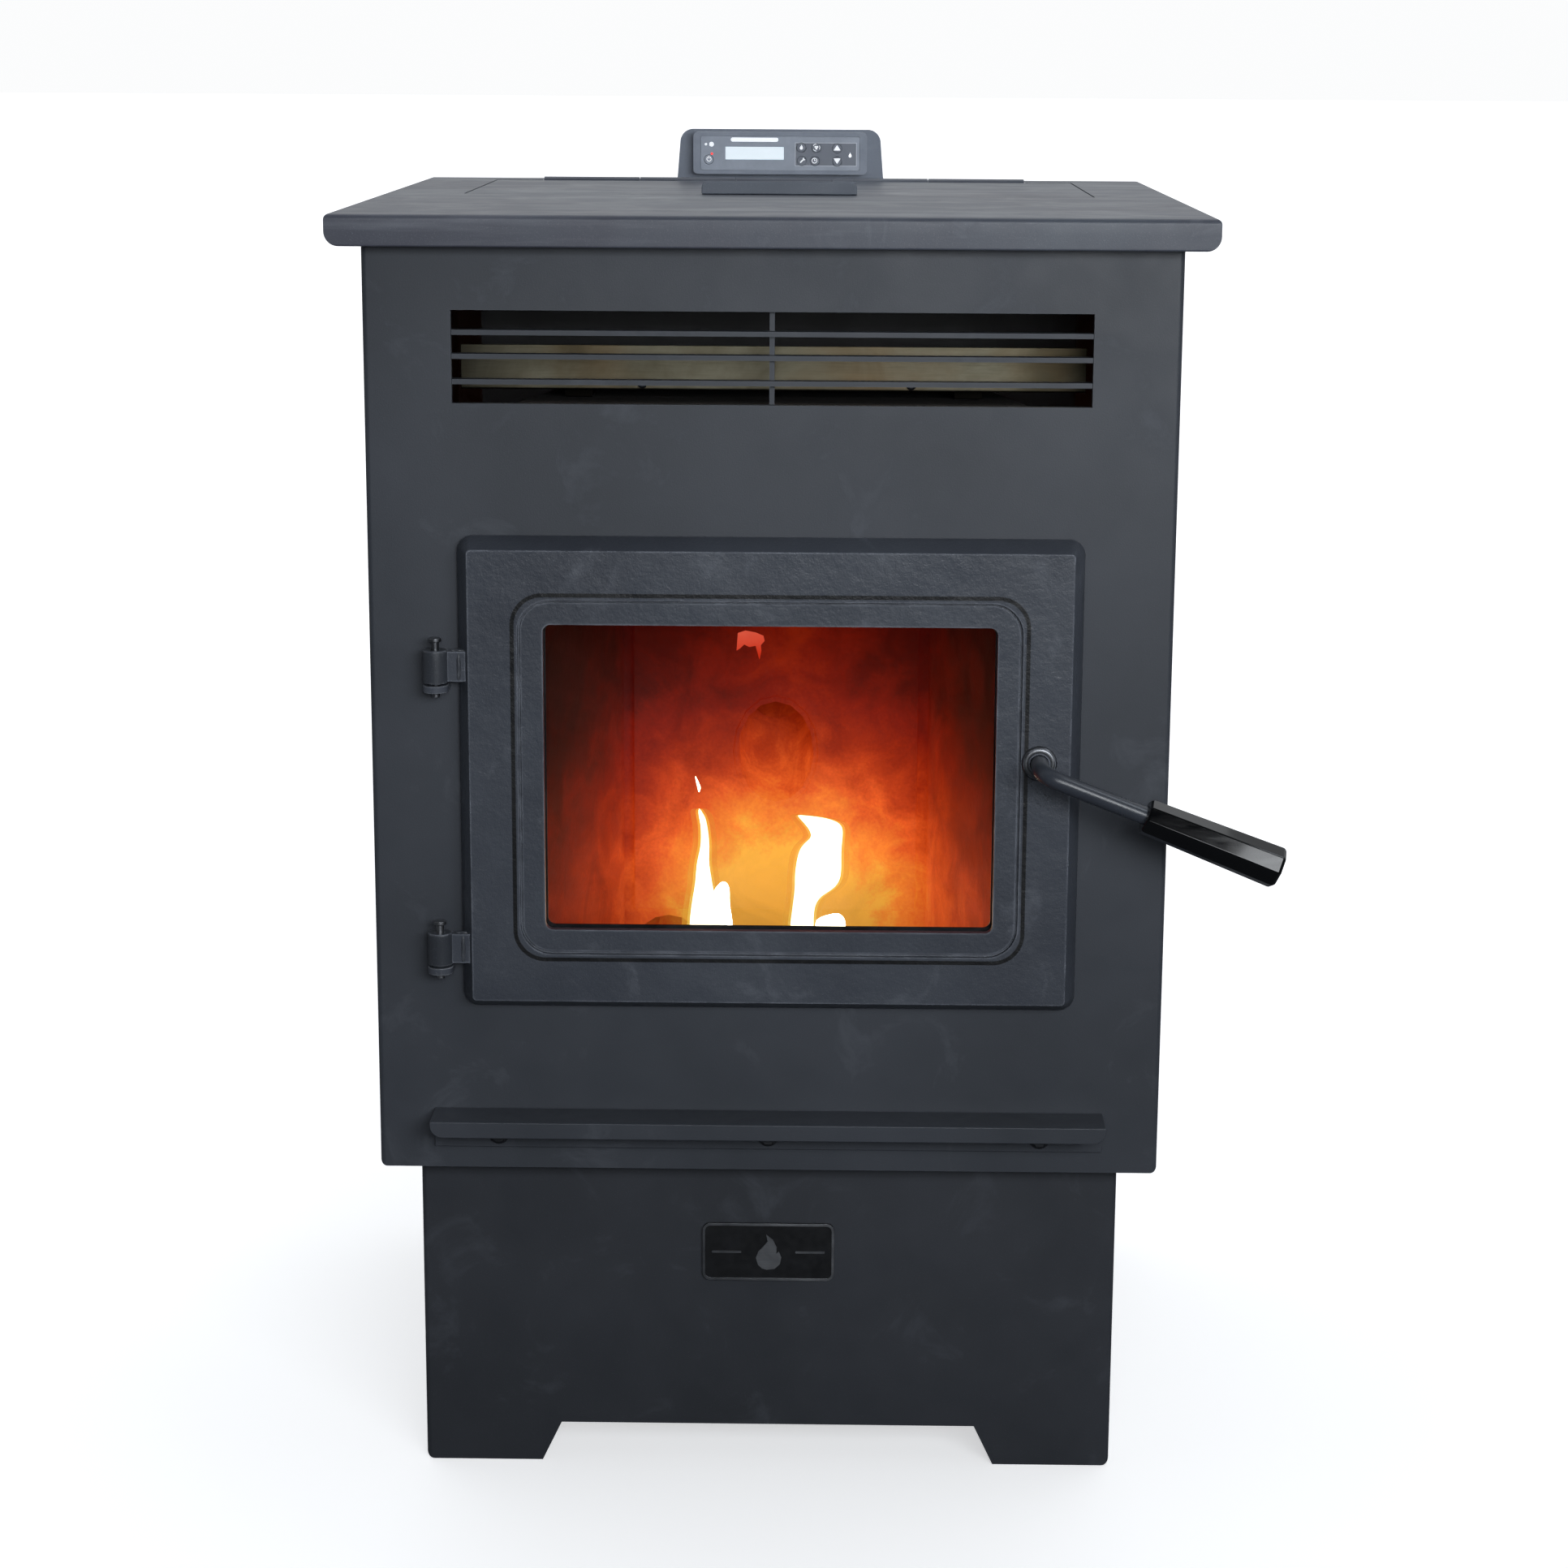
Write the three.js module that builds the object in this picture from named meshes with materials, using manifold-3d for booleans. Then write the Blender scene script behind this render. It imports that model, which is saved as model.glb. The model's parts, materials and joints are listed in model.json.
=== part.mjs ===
// A free-standing pellet stove. A sheet-steel cabinet stands on a pedestal. A cast door with a window
// hangs on two pin hinges at the left, and its lever handle turns a latch finger. The hopper is behind
// the firebox, under a lid in the top plate. An inclined auger lifts the pellets to a chute that drops
// them into the burn pot. One blower draws the smoke out of the flue, the other blows room air through
// the heat exchanger tubes and out of the louvre.
//
// Millimetres. +X is to the right as seen from the front, +Y to the back, +Z up.

import * as THREE from 'three';
import { mergeVertices } from 'three/addons/utils/BufferGeometryUtils.js';
import { ConvexGeometry } from 'three/addons/geometries/ConvexGeometry.js';
import Module from 'manifold-3d';

const wasm = await Module();
wasm.setup();

// Fits and stock
const GAP = 0.3; // between pieces that touch
const SWING_GAP = 2; // round a piece that swings or spins
const PIN_GAP = 0.35; // round a hinge pin or the handle rod
const SHEET = 3; // cabinet, pedestal and top plate
const THIN_SHEET = 2; // hopper, ducts and blower housings
const PLATE = 4; // firebox

// Cabinet, from the floor up
const PEDESTAL_HEIGHT = 242;
const DOOR_RISE = 124.8; // cabinet bottom to door bottom
const DOOR_HEIGHT = 341.2;
const LOUVRE_RISE = 91.5; // door top to louvre slot
const LOUVRE_HEIGHT = 64.3;
const LOUVRE_DROP = 66.2; // louvre slot to top surface
const CABINET_WIDTH = 566.5;
const CABINET_DEPTH = 565;
const CABINET_BEND = 4;
const CABINET_CORNER = 5;
const RETURN_DEPTH = 20; // front sheets wrap this far round the sides

// Top plate and lid
const TOP_OVERHANG_SIDE = 21.75;
const TOP_OVERHANG_FRONT = 22.5;
const TOP_OVERHANG_BACK = 22.5;
const LIP_HEIGHT = 22;
const LIP_BEND = 4;
const LIP_CORNER = 10;
const LIP_HEM = 1.5; // rounding of the lip's lower front edge
const LID_SIDE_MARGIN = 40.25; // cabinet side to lid opening
const LID_BACK_MARGIN = 12.5; // cabinet back to lid opening
const LID_SEAM = 1.5;
const LID_LEDGE = 13; // what the lid rests on
const LID_KNUCKLE_RADIUS = 4.5;
const LID_PIN_RADIUS = 2;
const LID_AXIS_DROP = 1.7; // below the top surface
const LID_HINGE_MARGIN = 40; // ends of the hinge to the lid's sides
const LID_KNUCKLES = 5;
const LID_HANDLE_LENGTH = 120;
const LID_HANDLE_HEIGHT = 10;
const LID_HANDLE_FOOT = 16;
const LID_HANDLE_SETBACK = 6;
const SEAL_WIDTH = 7;
const SEAL_DEPTH = 5;

// Pedestal
const PEDESTAL_INSET_SIDE = 26.25;
const PEDESTAL_INSET_FRONT = 27.7;
const PEDESTAL_CORNER = 6;
const FOOT_LENGTH = 87; // along the floor, from the pedestal's side
const FOOT_HEIGHT = 30.5;
const FOOT_SLOPE = 15; // how far the cut-out narrows towards its top
const FLANGE = 30; // inward flanges at the top and under the feet

// Louvre
const LOUVRE_SIDE_MARGIN = 61.25;
const BAR_THICKNESS = 3.5;
const BAR_DEPTH = 10;
const BAR_DROPS = [15.3, 31.8, 49.3]; // below the slot's top edge
const GRILLE_FRAME = 8;
const SHIELD_SETBACK = 60;
const SHIELD_FACE = 31.5;
const SHIELD_LIFT = 4; // above the slot's lower edge
const SHIELD_DEPTH = 50;
const SHIELD_LEG_WIDTH = 20;
const SHIELD_LEG_INSET = 40; // firebox side to the leg's middle
const SHIELD_LEG_SETBACK = 10;

// Door
const DOOR_SIDE_MARGIN = 63.75; // cabinet side to door
const DOOR_FRONT = 22; // how far its face stands in front of the cabinet
const DOOR_STANDOFF = 2.5;
const DOOR_BEVEL = 8;
const DOOR_BEVEL_DEPTH = 17;
const DOOR_CORNER = 3;
const BEZEL_MARGIN = 43; // door edge to bezel recess
const BEZEL_DEPTH = 2.5;
const BEZEL_CORNER = 22;
const BEZEL_GROOVE_WIDTH = 1.6;
const BEZEL_GROOVE_DEPTH = 1.6;
const GLASS_MARGIN = 60.5; // door edge to glass opening
const GLASS_CORNER = 5.5;
const GLASS_LAP = 10;
const GLASS_THICKNESS = 5;
const GLASS_SEAT = 8.5; // door face to glass
const RETAINER_THICKNESS = 2;
const GASKET_WALL = 3.4; // between the glass rebate and the gasket groove
const GASKET_WIDTH = 8;
const GASKET_DEPTH = 8;

// Door hinges
const HINGE_OFFSET_X = 15.3; // axis outside the door's edge
const HINGE_OFFSET_Y = 16; // axis in front of the cabinet
const HINGE_TOP_DROP = 109.4; // door top to the upper bracket
const HINGE_BOTTOM_RISE = 26.9; // door bottom to the lower bracket
const KNUCKLE_HEIGHT = 5.2;
const KNUCKLE_RADIUS = 9;
const BARREL_RADIUS = 8.75;
const BARREL_HEIGHT = 23.4;
const BARREL_GAP = 1.5;
const HINGE_TAB_THICKNESS = 8;
const PIN_RADIUS = 2.8;
const PIN_HEAD_RADIUS = 4.6;
const PIN_HEAD_HEIGHT = 2.6;
const PIN_ABOVE = 5.7;
const PIN_BELOW = 4;

// Handle and latch
const HANDLE_MARGIN = 30; // door edge to the handle's axis
const HANDLE_RISE = 185.2; // door bottom to the handle's axis
const HANDLE_RADIUS = 6.35;
const HANDLE_STANDOFF = 38.5; // door face to the lever
const HANDLE_BEND = 14;
const HANDLE_DROOP = THREE.MathUtils.degToRad(21.4);
const LEVER_LENGTH = 76.9; // axis to grip
const GRIP_LENGTH = 101;
const GRIP_START_RADIUS = 13;
const GRIP_END_RADIUS = 15.2;
const GRIP_BORE = 86;
const GRIP_SIDES = 8;
const BOSS_RADIUS = 11.5;
const BOSS_HEIGHT = 3;
const CAM_HUB_RADIUS = 8.2;
const CAM_LENGTH = 20;
const CAM_WIDTH = 9;
const CAM_THICKNESS = 6;
const CAM_GAP = 4.5; // door back to cam
const KEEPER_RIM = 12;

// Ash shelf and badge
const SHELF_WIDTH = 485.6;
const SHELF_DEPTH = 35;
const SHELF_RISE = 45.5; // cabinet bottom to the shelf's top
const SHELF_LIP = 12;
const SHELF_BACK = 29;
const SHELF_CORNER = 9;
const BADGE_WIDTH = 98;
const BADGE_HEIGHT = 45;
const BADGE_RISE = 146;
const BADGE_THICKNESS = 2;
const BADGE_CORNER = 6;

// Control panel
const CONTROL_OFFSET_X = -3.5;
const BRACKET_WIDTH = 176;
const BRACKET_TOP_WIDTH = 171;
const BRACKET_HEIGHT = 42;
const BRACKET_CORNER = 11;
const BRACKET_SETBACK = 10; // top plate's back edge to the bracket
const BRACKET_FOOT = 8;
const HOUSING_WIDTH = 147.6;
const HOUSING_HEIGHT = 35.2;
const HOUSING_LIFT = 5;
const HOUSING_DEPTH = 14.7;
const HOUSING_CORNER = 4;
const OVERLAY_WIDTH = 134.8;
const OVERLAY_HEIGHT = 28.2;
const OVERLAY_THICKNESS = 0.6;
const LCD_WIDTH = 51.7;
const LCD_HEIGHT = 12.6;
const LCD_X = -21.7;
const LCD_THICKNESS = 2;
const BUTTON_RADIUS = 4;
const BUTTON_DEPTH = 3.4;
const BUTTON_TRAVEL = 0.5;
const BUTTONS = { // across and up from the overlay's centre
  power_button: [-60.5, -5.4],
  flame_button: [17.9, 4.9],
  fan_button: [30.7, 4.7],
  setup_button: [18.4, -6.2],
  clock_button: [29.6, -6.3],
  up_button: [48.3, 4.4],
  down_button: [48.4, -6.5],
};

// Firebox and what is in it
const OPENING_MARGIN = 2; // door opening to the inside of the gasket
const FIREBOX_RIM = 8; // round the door opening
const FIREBOX_FLOOR_LIFT = 17; // above the cabinet's floor
const FIREBOX_DEPTH = 264;
const FIREBOX_BACK_WIDTH = 248;
const FIREBOX_TAPER_START = 34;
const FIREBOX_TOP_DROP = 2.5; // below the louvre slot
const PLENUM_DEPTH = 36; // the firebox stands back this far above the door
const PLENUM_DROP = 97; // firebox top to plenum floor
const TUBE_COUNT = 5;
const TUBE_PITCH = 46;
const TUBE_RADIUS = 15;
const TUBE_WALL = 1.5;
const TUBE_DROP = 49; // firebox top to tube axes
const TUBE_OVERRUN = 6;
const LINER_WIDTH = 224;
const LINER_THICKNESS = 8;
const LINER_RISE = 104; // above the firebox floor
const LINER_HEIGHT = 310;
const STAND_WIDTH = 120;
const STAND_DEPTH = 88;
const STAND_HEIGHT = 39;
const STAND_LIP = 12; // round the opening under the pot
const POT_WIDTH = 144;
const POT_DEPTH = 86;
const POT_HEIGHT = 45;
const POT_WALL = 5;
const POT_HOLE_RADIUS = 4;
const POT_HOLE_COLUMNS = 4;
const POT_HOLE_COLUMN_PITCH = 24;
const POT_HOLE_ROW_PITCH = 36; // two rows
const PAN_SIDE_GAP = 5;
const PAN_DEPTH = 110;
const PAN_HEIGHT = 34;
const PAN_SETBACK = 16;
const PAN_TAB_WIDTH = 60;
const PAN_TAB_REACH = 10;
const IGNITER_RADIUS = 5;
const IGNITER_LENGTH = 66;
const IGNITER_X = 42;
const IGNITER_RISE = 12; // above the pot's underside

// Fuel feed
const AUGER_TILT = THREE.MathUtils.degToRad(40); // from vertical
const AUGER_CLEARANCE = 0.2; // firebox back to the auger tube's upper end
const AUGER_RISE = 318; // cabinet bottom to the auger's upper end
const AUGER_LENGTH = 170;
const AUGER_TUBE_RADIUS = 38;
const AUGER_TUBE_WALL = 3;
const AUGER_RADIUS = 31;
const AUGER_SHAFT_RADIUS = 8;
const AUGER_PITCH = 45;
const AUGER_CAP = 40;
const AUGER_INLET_MARGIN = 5; // throat's side to the tube's inlet
const AUGER_INLET_LENGTH = 85;
const AUGER_INLET_RISE = 75; // below the auger's upper end, to the inlet's middle
const CHUTE_RADIUS = 30;
const CHUTE_WALL = 3;
const CHUTE_SLOPE = THREE.MathUtils.degToRad(42);
const GEARBOX_SIZE = 66;
const GEARBOX_LENGTH = 45;
const AUGER_MOTOR_RADIUS = 26;
const AUGER_MOTOR_LENGTH = 40;
const THROAT_WIDTH = 68;
const THROAT_SETBACK = 46; // auger's upper end to throat
const THROAT_DEPTH = 63;
const THROAT_RISE = 333;
const HOPPER_SHOULDER_DROP = 170; // top surface to the start of the funnel
const HOPPER_FRONT_MARGIN = 20; // firebox back to lid opening
const HOPPER_FLANGE = 16;

// Blowers and pipes
const EXHAUST_X = -85;
const EXHAUST_RISE = 93; // cabinet bottom to blower and flue axis
const EXHAUST_RADIUS = 72;
const EXHAUST_DEPTH = 60;
const EXHAUST_DUCT = 40;
const EXHAUST_INLET_RADIUS = 30;
const EXHAUST_WHEEL_RADIUS = 58;
const EXHAUST_BLADES = 8;
const EXHAUST_BLADE_DEPTH = 22;
const EXHAUST_BLADE_START = 8;
const EXHAUST_HUB_RADIUS = 12;
const EXHAUST_HUB_REACH = 6; // in front of the wheel's disc
const EXHAUST_MOTOR_RADIUS = 36;
const EXHAUST_MOTOR_LENGTH = 60;
const DISCHARGE_HEIGHT = 88;
const FLUE_X = -175;
const FLUE_RADIUS = 38;
const FLUE_STUB = 55;
const FLUE_FLANGE_RADIUS = 54;
const INTAKE_X = 22;
const INTAKE_RISE = 50;
const INTAKE_RADIUS = 24;
const INTAKE_STUB = 36;
const INTAKE_FLANGE_RADIUS = 36;
const CONVECTION_X = 130;
const CONVECTION_SETBACK = 140; // firebox back to blower axis
const CONVECTION_RISE = 96;
const CONVECTION_RADIUS = 78;
const CONVECTION_WIDTH = 120;
const CONVECTION_INLET_RADIUS = 48;
const CONVECTION_WHEEL_RADIUS = 62;
const CONVECTION_WHEEL_WIDTH = 100;
const CONVECTION_BLADES = 14;
const CONVECTION_BLADE = 14;
const CONVECTION_HUB_RADIUS = 10;
const CONVECTION_HUB_LENGTH = 18;
const CONVECTION_SNOUT = 130;
const CONVECTION_SNOUT_HEIGHT = 50;
const CONVECTION_MOTOR_RADIUS = 42;
const CONVECTION_MOTOR_LENGTH = 70;
const HUB_PROUD = 4; // behind the wheel's disc
const MOTOR_SHAFT_RADIUS = 4;
const MOTOR_BORE_DEPTH = 8;

// Vents, inlet and board
const VENT_LENGTH = 90;
const VENT_HEIGHT = 6;
const VENT_PITCH = 16;
const BACK_VENTS = 9;
const SIDE_VENTS = 6;
const VENT_RISE = 24; // cabinet bottom to the lowest vent
const SIDE_VENT_BACK_MARGIN = 40;
const SIDE_VENT_LENGTH = 90;
const INLET_X = 215;
const INLET_RISE = 228;
const INLET_WIDTH = 28;
const INLET_HEIGHT = 20;
const INLET_RIM = 10;
const INLET_DEPTH = 20;
const INLET_WALL = 2.5;
const INLET_RIM_HEIGHT = 2;
const INLET_PIN = 2; // width, and half the height
const INLET_PINS = [[-7, -2], [0, 3], [7, -2]]; // across and up from the inlet's centre
const BOARD_DEPTH = 130;
const BOARD_HEIGHT = 150;
const BOARD_RISE = 240;
const BOARD_SETBACK = 60;
const BOARD_MARGIN = 6; // side panel to the board
const BOARD_COMPONENTS = [ // place along the board and up it, then thickness, length and height
  [12, 14, 12, 34, 22],
  [62, 10, 16, 40, 30],
  [16, 70, 9, 26, 50],
  [60, 66, 7, 50, 18],
  [64, 104, 11, 44, 28],
];

// Places that follow from the sizes
const halfWidth = CABINET_WIDTH / 2;
const innerHalf = halfWidth - SHEET;
const cabinetBottom = PEDESTAL_HEIGHT;
const doorBottom = cabinetBottom + DOOR_RISE;
const doorTop = doorBottom + DOOR_HEIGHT;
const louvreBottom = doorTop + LOUVRE_RISE;
const louvreTop = louvreBottom + LOUVRE_HEIGHT;
const topZ = louvreTop + LOUVRE_DROP;
const cabinetTop = topZ - SHEET - GAP;
const cabinetFront = TOP_OVERHANG_FRONT;
const cabinetBack = cabinetFront + CABINET_DEPTH;
const topBack = cabinetBack + TOP_OVERHANG_BACK;
const topHalf = halfWidth + TOP_OVERHANG_SIDE;
const panelBack = cabinetFront + SHEET;
const backPanelFront = cabinetBack - SHEET;
const floorTop = cabinetBottom + SHEET;

const doorHalf = halfWidth - DOOR_SIDE_MARGIN;
const doorFace = cabinetFront - DOOR_FRONT;
const doorBack = cabinetFront - DOOR_STANDOFF;
const glassFront = doorFace + GLASS_SEAT + GAP;
const glassBack = glassFront + GLASS_THICKNESS;
const grooveInset = GLASS_MARGIN - GLASS_LAP - GAP - GASKET_WALL; // door edge to the groove's inner wall
const gasketInset = grooveInset - GAP; // door edge to the gasket's inner side
const openingInset = gasketInset + OPENING_MARGIN;
const hingeX = -doorHalf - HINGE_OFFSET_X;
const hingeY = cabinetFront - HINGE_OFFSET_Y;
const handleX = doorHalf - HANDLE_MARGIN;
const handleZ = doorBottom + HANDLE_RISE;
const leverY = doorFace - HANDLE_STANDOFF;

const openingHalf = doorHalf - openingInset;
const openingBottom = doorBottom + openingInset;
const openingTop = doorTop - openingInset;
const fireboxFront = panelBack + GAP;
const fireboxBack = fireboxFront + FIREBOX_DEPTH;
const fireboxBottom = floorTop + FIREBOX_FLOOR_LIFT;
const fireboxTop = louvreBottom - FIREBOX_TOP_DROP;
const fireboxHalf = openingHalf + FIREBOX_RIM;
const fireboxFloor = fireboxBottom + PLATE;
const plenumFloor = fireboxTop - PLENUM_DROP;
const fireboxUpperFront = fireboxFront + PLENUM_DEPTH;
const tubeZ = fireboxTop - TUBE_DROP;
const standBack = fireboxBack - PLATE - GAP;
const standTop = fireboxFloor + GAP + STAND_HEIGHT;
const potBottom = standTop + GAP;
const potY = standBack - STAND_DEPTH / 2;

const augerAxis = new THREE.Vector3(0, -Math.sin(AUGER_TILT), Math.cos(AUGER_TILT));
const augerReach = AUGER_CAP * Math.sin(AUGER_TILT) + AUGER_TUBE_RADIUS * Math.cos(AUGER_TILT);
const augerTop = new THREE.Vector3(
  0, fireboxBack + AUGER_CLEARANCE + augerReach, cabinetBottom + AUGER_RISE,
);
const throatStart = augerTop.y + THROAT_SETBACK;
const augerBottom = augerTop.clone().addScaledVector(augerAxis, -AUGER_LENGTH);
const chuteMouthY = fireboxBack - PLATE - GAP - LINER_THICKNESS - GAP;
const chuteRun = augerTop.y - chuteMouthY;
const chuteMouth = new THREE.Vector3(0, chuteMouthY, augerTop.z - chuteRun * Math.tan(CHUTE_SLOPE));

const lidOpeningHalf = halfWidth - LID_SIDE_MARGIN;
const lidOpeningFront = fireboxBack + HOPPER_FRONT_MARGIN;
const lidOpeningBack = cabinetBack - LID_BACK_MARGIN;
const lidChannel = 2 * LID_KNUCKLE_RADIUS + 2 * LID_SEAM;
const lidBack = lidOpeningBack - lidChannel;
const lidAxisY = lidBack + lidChannel / 2;
const lidAxisZ = topZ - LID_AXIS_DROP;
const mouthHalf = lidOpeningHalf - LID_LEDGE;
const mouthFront = lidOpeningFront + LID_LEDGE;
const mouthBack = lidBack - LID_LEDGE;

const exhaustZ = cabinetBottom + EXHAUST_RISE;
const exhaustFront = fireboxBack + EXHAUST_DUCT;
const exhaustBack = exhaustFront + EXHAUST_DEPTH;
const intakeZ = cabinetBottom + INTAKE_RISE;
const convectionY = fireboxBack + CONVECTION_SETBACK;
const convectionZ = cabinetBottom + CONVECTION_RISE;
const convectionLeft = CONVECTION_X - CONVECTION_WIDTH / 2;
const convectionRight = CONVECTION_X + CONVECTION_WIDTH / 2;

const housingBack = topBack - BRACKET_SETBACK - GAP;
const housingFront = housingBack - HOUSING_DEPTH;
const housingBottom = topZ + HOUSING_LIFT;
const overlayZ = housingBottom + HOUSING_HEIGHT / 2;
const overlayFront = housingFront + GAP;
const overlayBack = overlayFront + OVERLAY_THICKNESS;

// Finishes
const finish = (color, roughness, metalness) => () =>
  new THREE.MeshStandardMaterial({ color, roughness, metalness });
const bodyPaint = finish(0x3f434b, 0.55, 0.1);
const pedestalPaint = finish(0x33363d, 0.55, 0.1);
const topPaint = finish(0x5a626e, 0.5, 0.1);
const doorPaint = finish(0x474b55, 0.6, 0.15);
const bareSteel = finish(0x8f949b, 0.4, 0.9);
const darkSteel = finish(0x3a3d42, 0.5, 0.8);
const aluminised = finish(0x8b8674, 0.45, 0.8);
const castIron = finish(0x2b2a29, 0.8, 0.4);
const blackPlastic = finish(0x08090b, 0.25, 0);
const greyPlastic = finish(0x59616c, 0.5, 0);
const paleScreen = finish(0xc9d2da, 0.3, 0);
const windowGlass = finish(0x6b2210, 0.1, 0);
const fibre = finish(0x6a675f, 0.95, 0);
const boardGreen = finish(0x1d5a38, 0.6, 0);

// The mesh of a closed geometry as a solid that can be joined and cut.
function solidOf(geometry) {
  const bare = geometry.clone();
  bare.deleteAttribute('normal');
  bare.deleteAttribute('uv');
  const merged = mergeVertices(bare, 1e-3);
  return new wasm.Manifold(new wasm.Mesh({
    numProp: 3,
    vertProperties: new Float32Array(merged.attributes.position.array),
    triVerts: new Uint32Array(merged.index.array),
  }));
}

function geometryOf(solid) {
  const mesh = solid.getMesh();
  const geometry = new THREE.BufferGeometry();
  geometry.setAttribute('position', new THREE.BufferAttribute(mesh.vertProperties, 3));
  geometry.setIndex(new THREE.BufferAttribute(mesh.triVerts, 1));
  geometry.computeVertexNormals();
  return geometry;
}

const join = (...solids) => solids.reduce((whole, next) => whole.add(next));
const cut = (solid, ...tools) => tools.reduce((left, tool) => left.subtract(tool), solid);

function box(x0, x1, y0, y1, z0, z1) {
  const geometry = new THREE.BoxGeometry(x1 - x0, y1 - y0, z1 - z0);
  geometry.translate((x0 + x1) / 2, (y0 + y1) / 2, (z0 + z1) / 2);
  return solidOf(geometry);
}

const UP = new THREE.Vector3(0, 1, 0);

// A cylinder from one point to another.
function rod(from, to, radius, sides = 16) {
  const along = to.clone().sub(from);
  const geometry = new THREE.CylinderGeometry(radius, radius, along.length(), sides);
  geometry.applyQuaternion(new THREE.Quaternion().setFromUnitVectors(UP, along.clone().normalize()));
  geometry.translate(...from.clone().addScaledVector(along, 0.5).toArray());
  return solidOf(geometry);
}

const point = (x, y, z) => new THREE.Vector3(x, y, z);
const rodX = (x0, x1, y, z, radius, sides) => rod(point(x0, y, z), point(x1, y, z), radius, sides);
const rodY = (x, y0, y1, z, radius, sides) => rod(point(x, y0, z), point(x, y1, z), radius, sides);
const rodZ = (x, y, z0, z1, radius, sides) => rod(point(x, y, z0), point(x, y, z1), radius, sides);

function polygon(points) {
  return new THREE.Shape(points.map(([x, y]) => new THREE.Vector2(x, y)));
}

// A rectangle with one radius at its lower corners and one at its upper corners.
function roundedRect(x0, x1, y0, y1, lower, upper = lower) {
  const shape = new THREE.Shape();
  shape.moveTo(x0 + lower, y0);
  shape.lineTo(x1 - lower, y0);
  if (lower) shape.absarc(x1 - lower, y0 + lower, lower, -Math.PI / 2, 0);
  shape.lineTo(x1, y1 - upper);
  if (upper) shape.absarc(x1 - upper, y1 - upper, upper, 0, Math.PI / 2);
  shape.lineTo(x0 + upper, y1);
  if (upper) shape.absarc(x0 + upper, y1 - upper, upper, Math.PI / 2, Math.PI);
  shape.lineTo(x0, y0 + lower);
  if (lower) shape.absarc(x0 + lower, y0 + lower, lower, Math.PI, 1.5 * Math.PI);
  return shape;
}

const flat = (shape, depth, curveSegments) =>
  new THREE.ExtrudeGeometry(shape, { depth, bevelEnabled: false, curveSegments });

// A shape drawn in front view, with depth from y0 to y1.
function plateXZ(shape, y0, y1, curveSegments = 4) {
  const geometry = flat(shape, y1 - y0, curveSegments);
  geometry.rotateX(Math.PI / 2);
  geometry.translate(0, y1, 0);
  return solidOf(geometry);
}

// A shape drawn in plan, with height from z0 to z1.
function plateXY(shape, z0, z1, curveSegments = 4) {
  const geometry = flat(shape, z1 - z0, curveSegments);
  geometry.translate(0, 0, z0);
  return solidOf(geometry);
}

// A shape drawn in side view, Y across and Z up, with width from x0 to x1.
function plateYZ(shape, x0, x1, curveSegments = 4) {
  const geometry = flat(shape, x1 - x0, curveSegments);
  geometry.applyMatrix4(new THREE.Matrix4().makeBasis(point(0, 1, 0), point(0, 0, 1), point(1, 0, 0)));
  geometry.translate(x0, 0, 0);
  return solidOf(geometry);
}

const hull = (points) => solidOf(new ConvexGeometry(points));

function boxCorners(x0, x1, y0, y1, z) {
  return [point(x0, y0, z), point(x1, y0, z), point(x1, y1, z), point(x0, y1, z)];
}

// ---- Cabinet ----

function lidKnuckles(moving) {
  const start = -lidOpeningHalf + LID_HINGE_MARGIN;
  const length = (2 * lidOpeningHalf - 2 * LID_HINGE_MARGIN) / LID_KNUCKLES;
  const knuckles = [];
  for (let i = moving ? 1 : 0; i < LID_KNUCKLES; i += 2) {
    const x0 = start + i * length + GAP;
    const x1 = start + (i + 1) * length - GAP;
    const leaf = moving
      ? box(x0, x1, lidBack - 1, lidAxisY, topZ - SHEET, topZ)
      : box(x0, x1, lidAxisY, lidOpeningBack + 1, topZ - SHEET, topZ);
    knuckles.push(leaf.add(rodX(x0, x1, lidAxisY, lidAxisZ, LID_KNUCKLE_RADIUS, 12)));
  }
  return join(...knuckles);
}

const lidPinBore = () =>
  rodX(-lidOpeningHalf, lidOpeningHalf, lidAxisY, lidAxisZ, LID_PIN_RADIUS + PIN_GAP, 12);

function topPlate() {
  const bottom = topZ - LIP_HEIGHT;
  const frontView = roundedRect(-topHalf, topHalf, bottom, topZ, LIP_CORNER, LIP_BEND);
  const sideView = new THREE.Shape();
  sideView.moveTo(LIP_HEM, bottom);
  sideView.lineTo(topBack, bottom);
  sideView.lineTo(topBack, topZ);
  sideView.lineTo(LIP_BEND, topZ);
  sideView.absarc(LIP_BEND, topZ - LIP_BEND, LIP_BEND, Math.PI / 2, Math.PI);
  sideView.lineTo(0, bottom + LIP_HEM);
  sideView.absarc(LIP_HEM, bottom + LIP_HEM, LIP_HEM, Math.PI, 1.5 * Math.PI);
  const blank = plateXZ(frontView, 0, topBack).intersect(plateYZ(sideView, -topHalf, topHalf));
  const inner = topHalf - SHEET;
  const under = box(-inner, inner, SHEET, topBack + 1, bottom - 1, topZ - SHEET);
  const opening = box(
    -lidOpeningHalf, lidOpeningHalf, lidOpeningFront, lidOpeningBack, bottom, topZ + 1,
  );
  return cut(join(cut(blank, under, opening), lidKnuckles(false)), lidPinBore());
}

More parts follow.
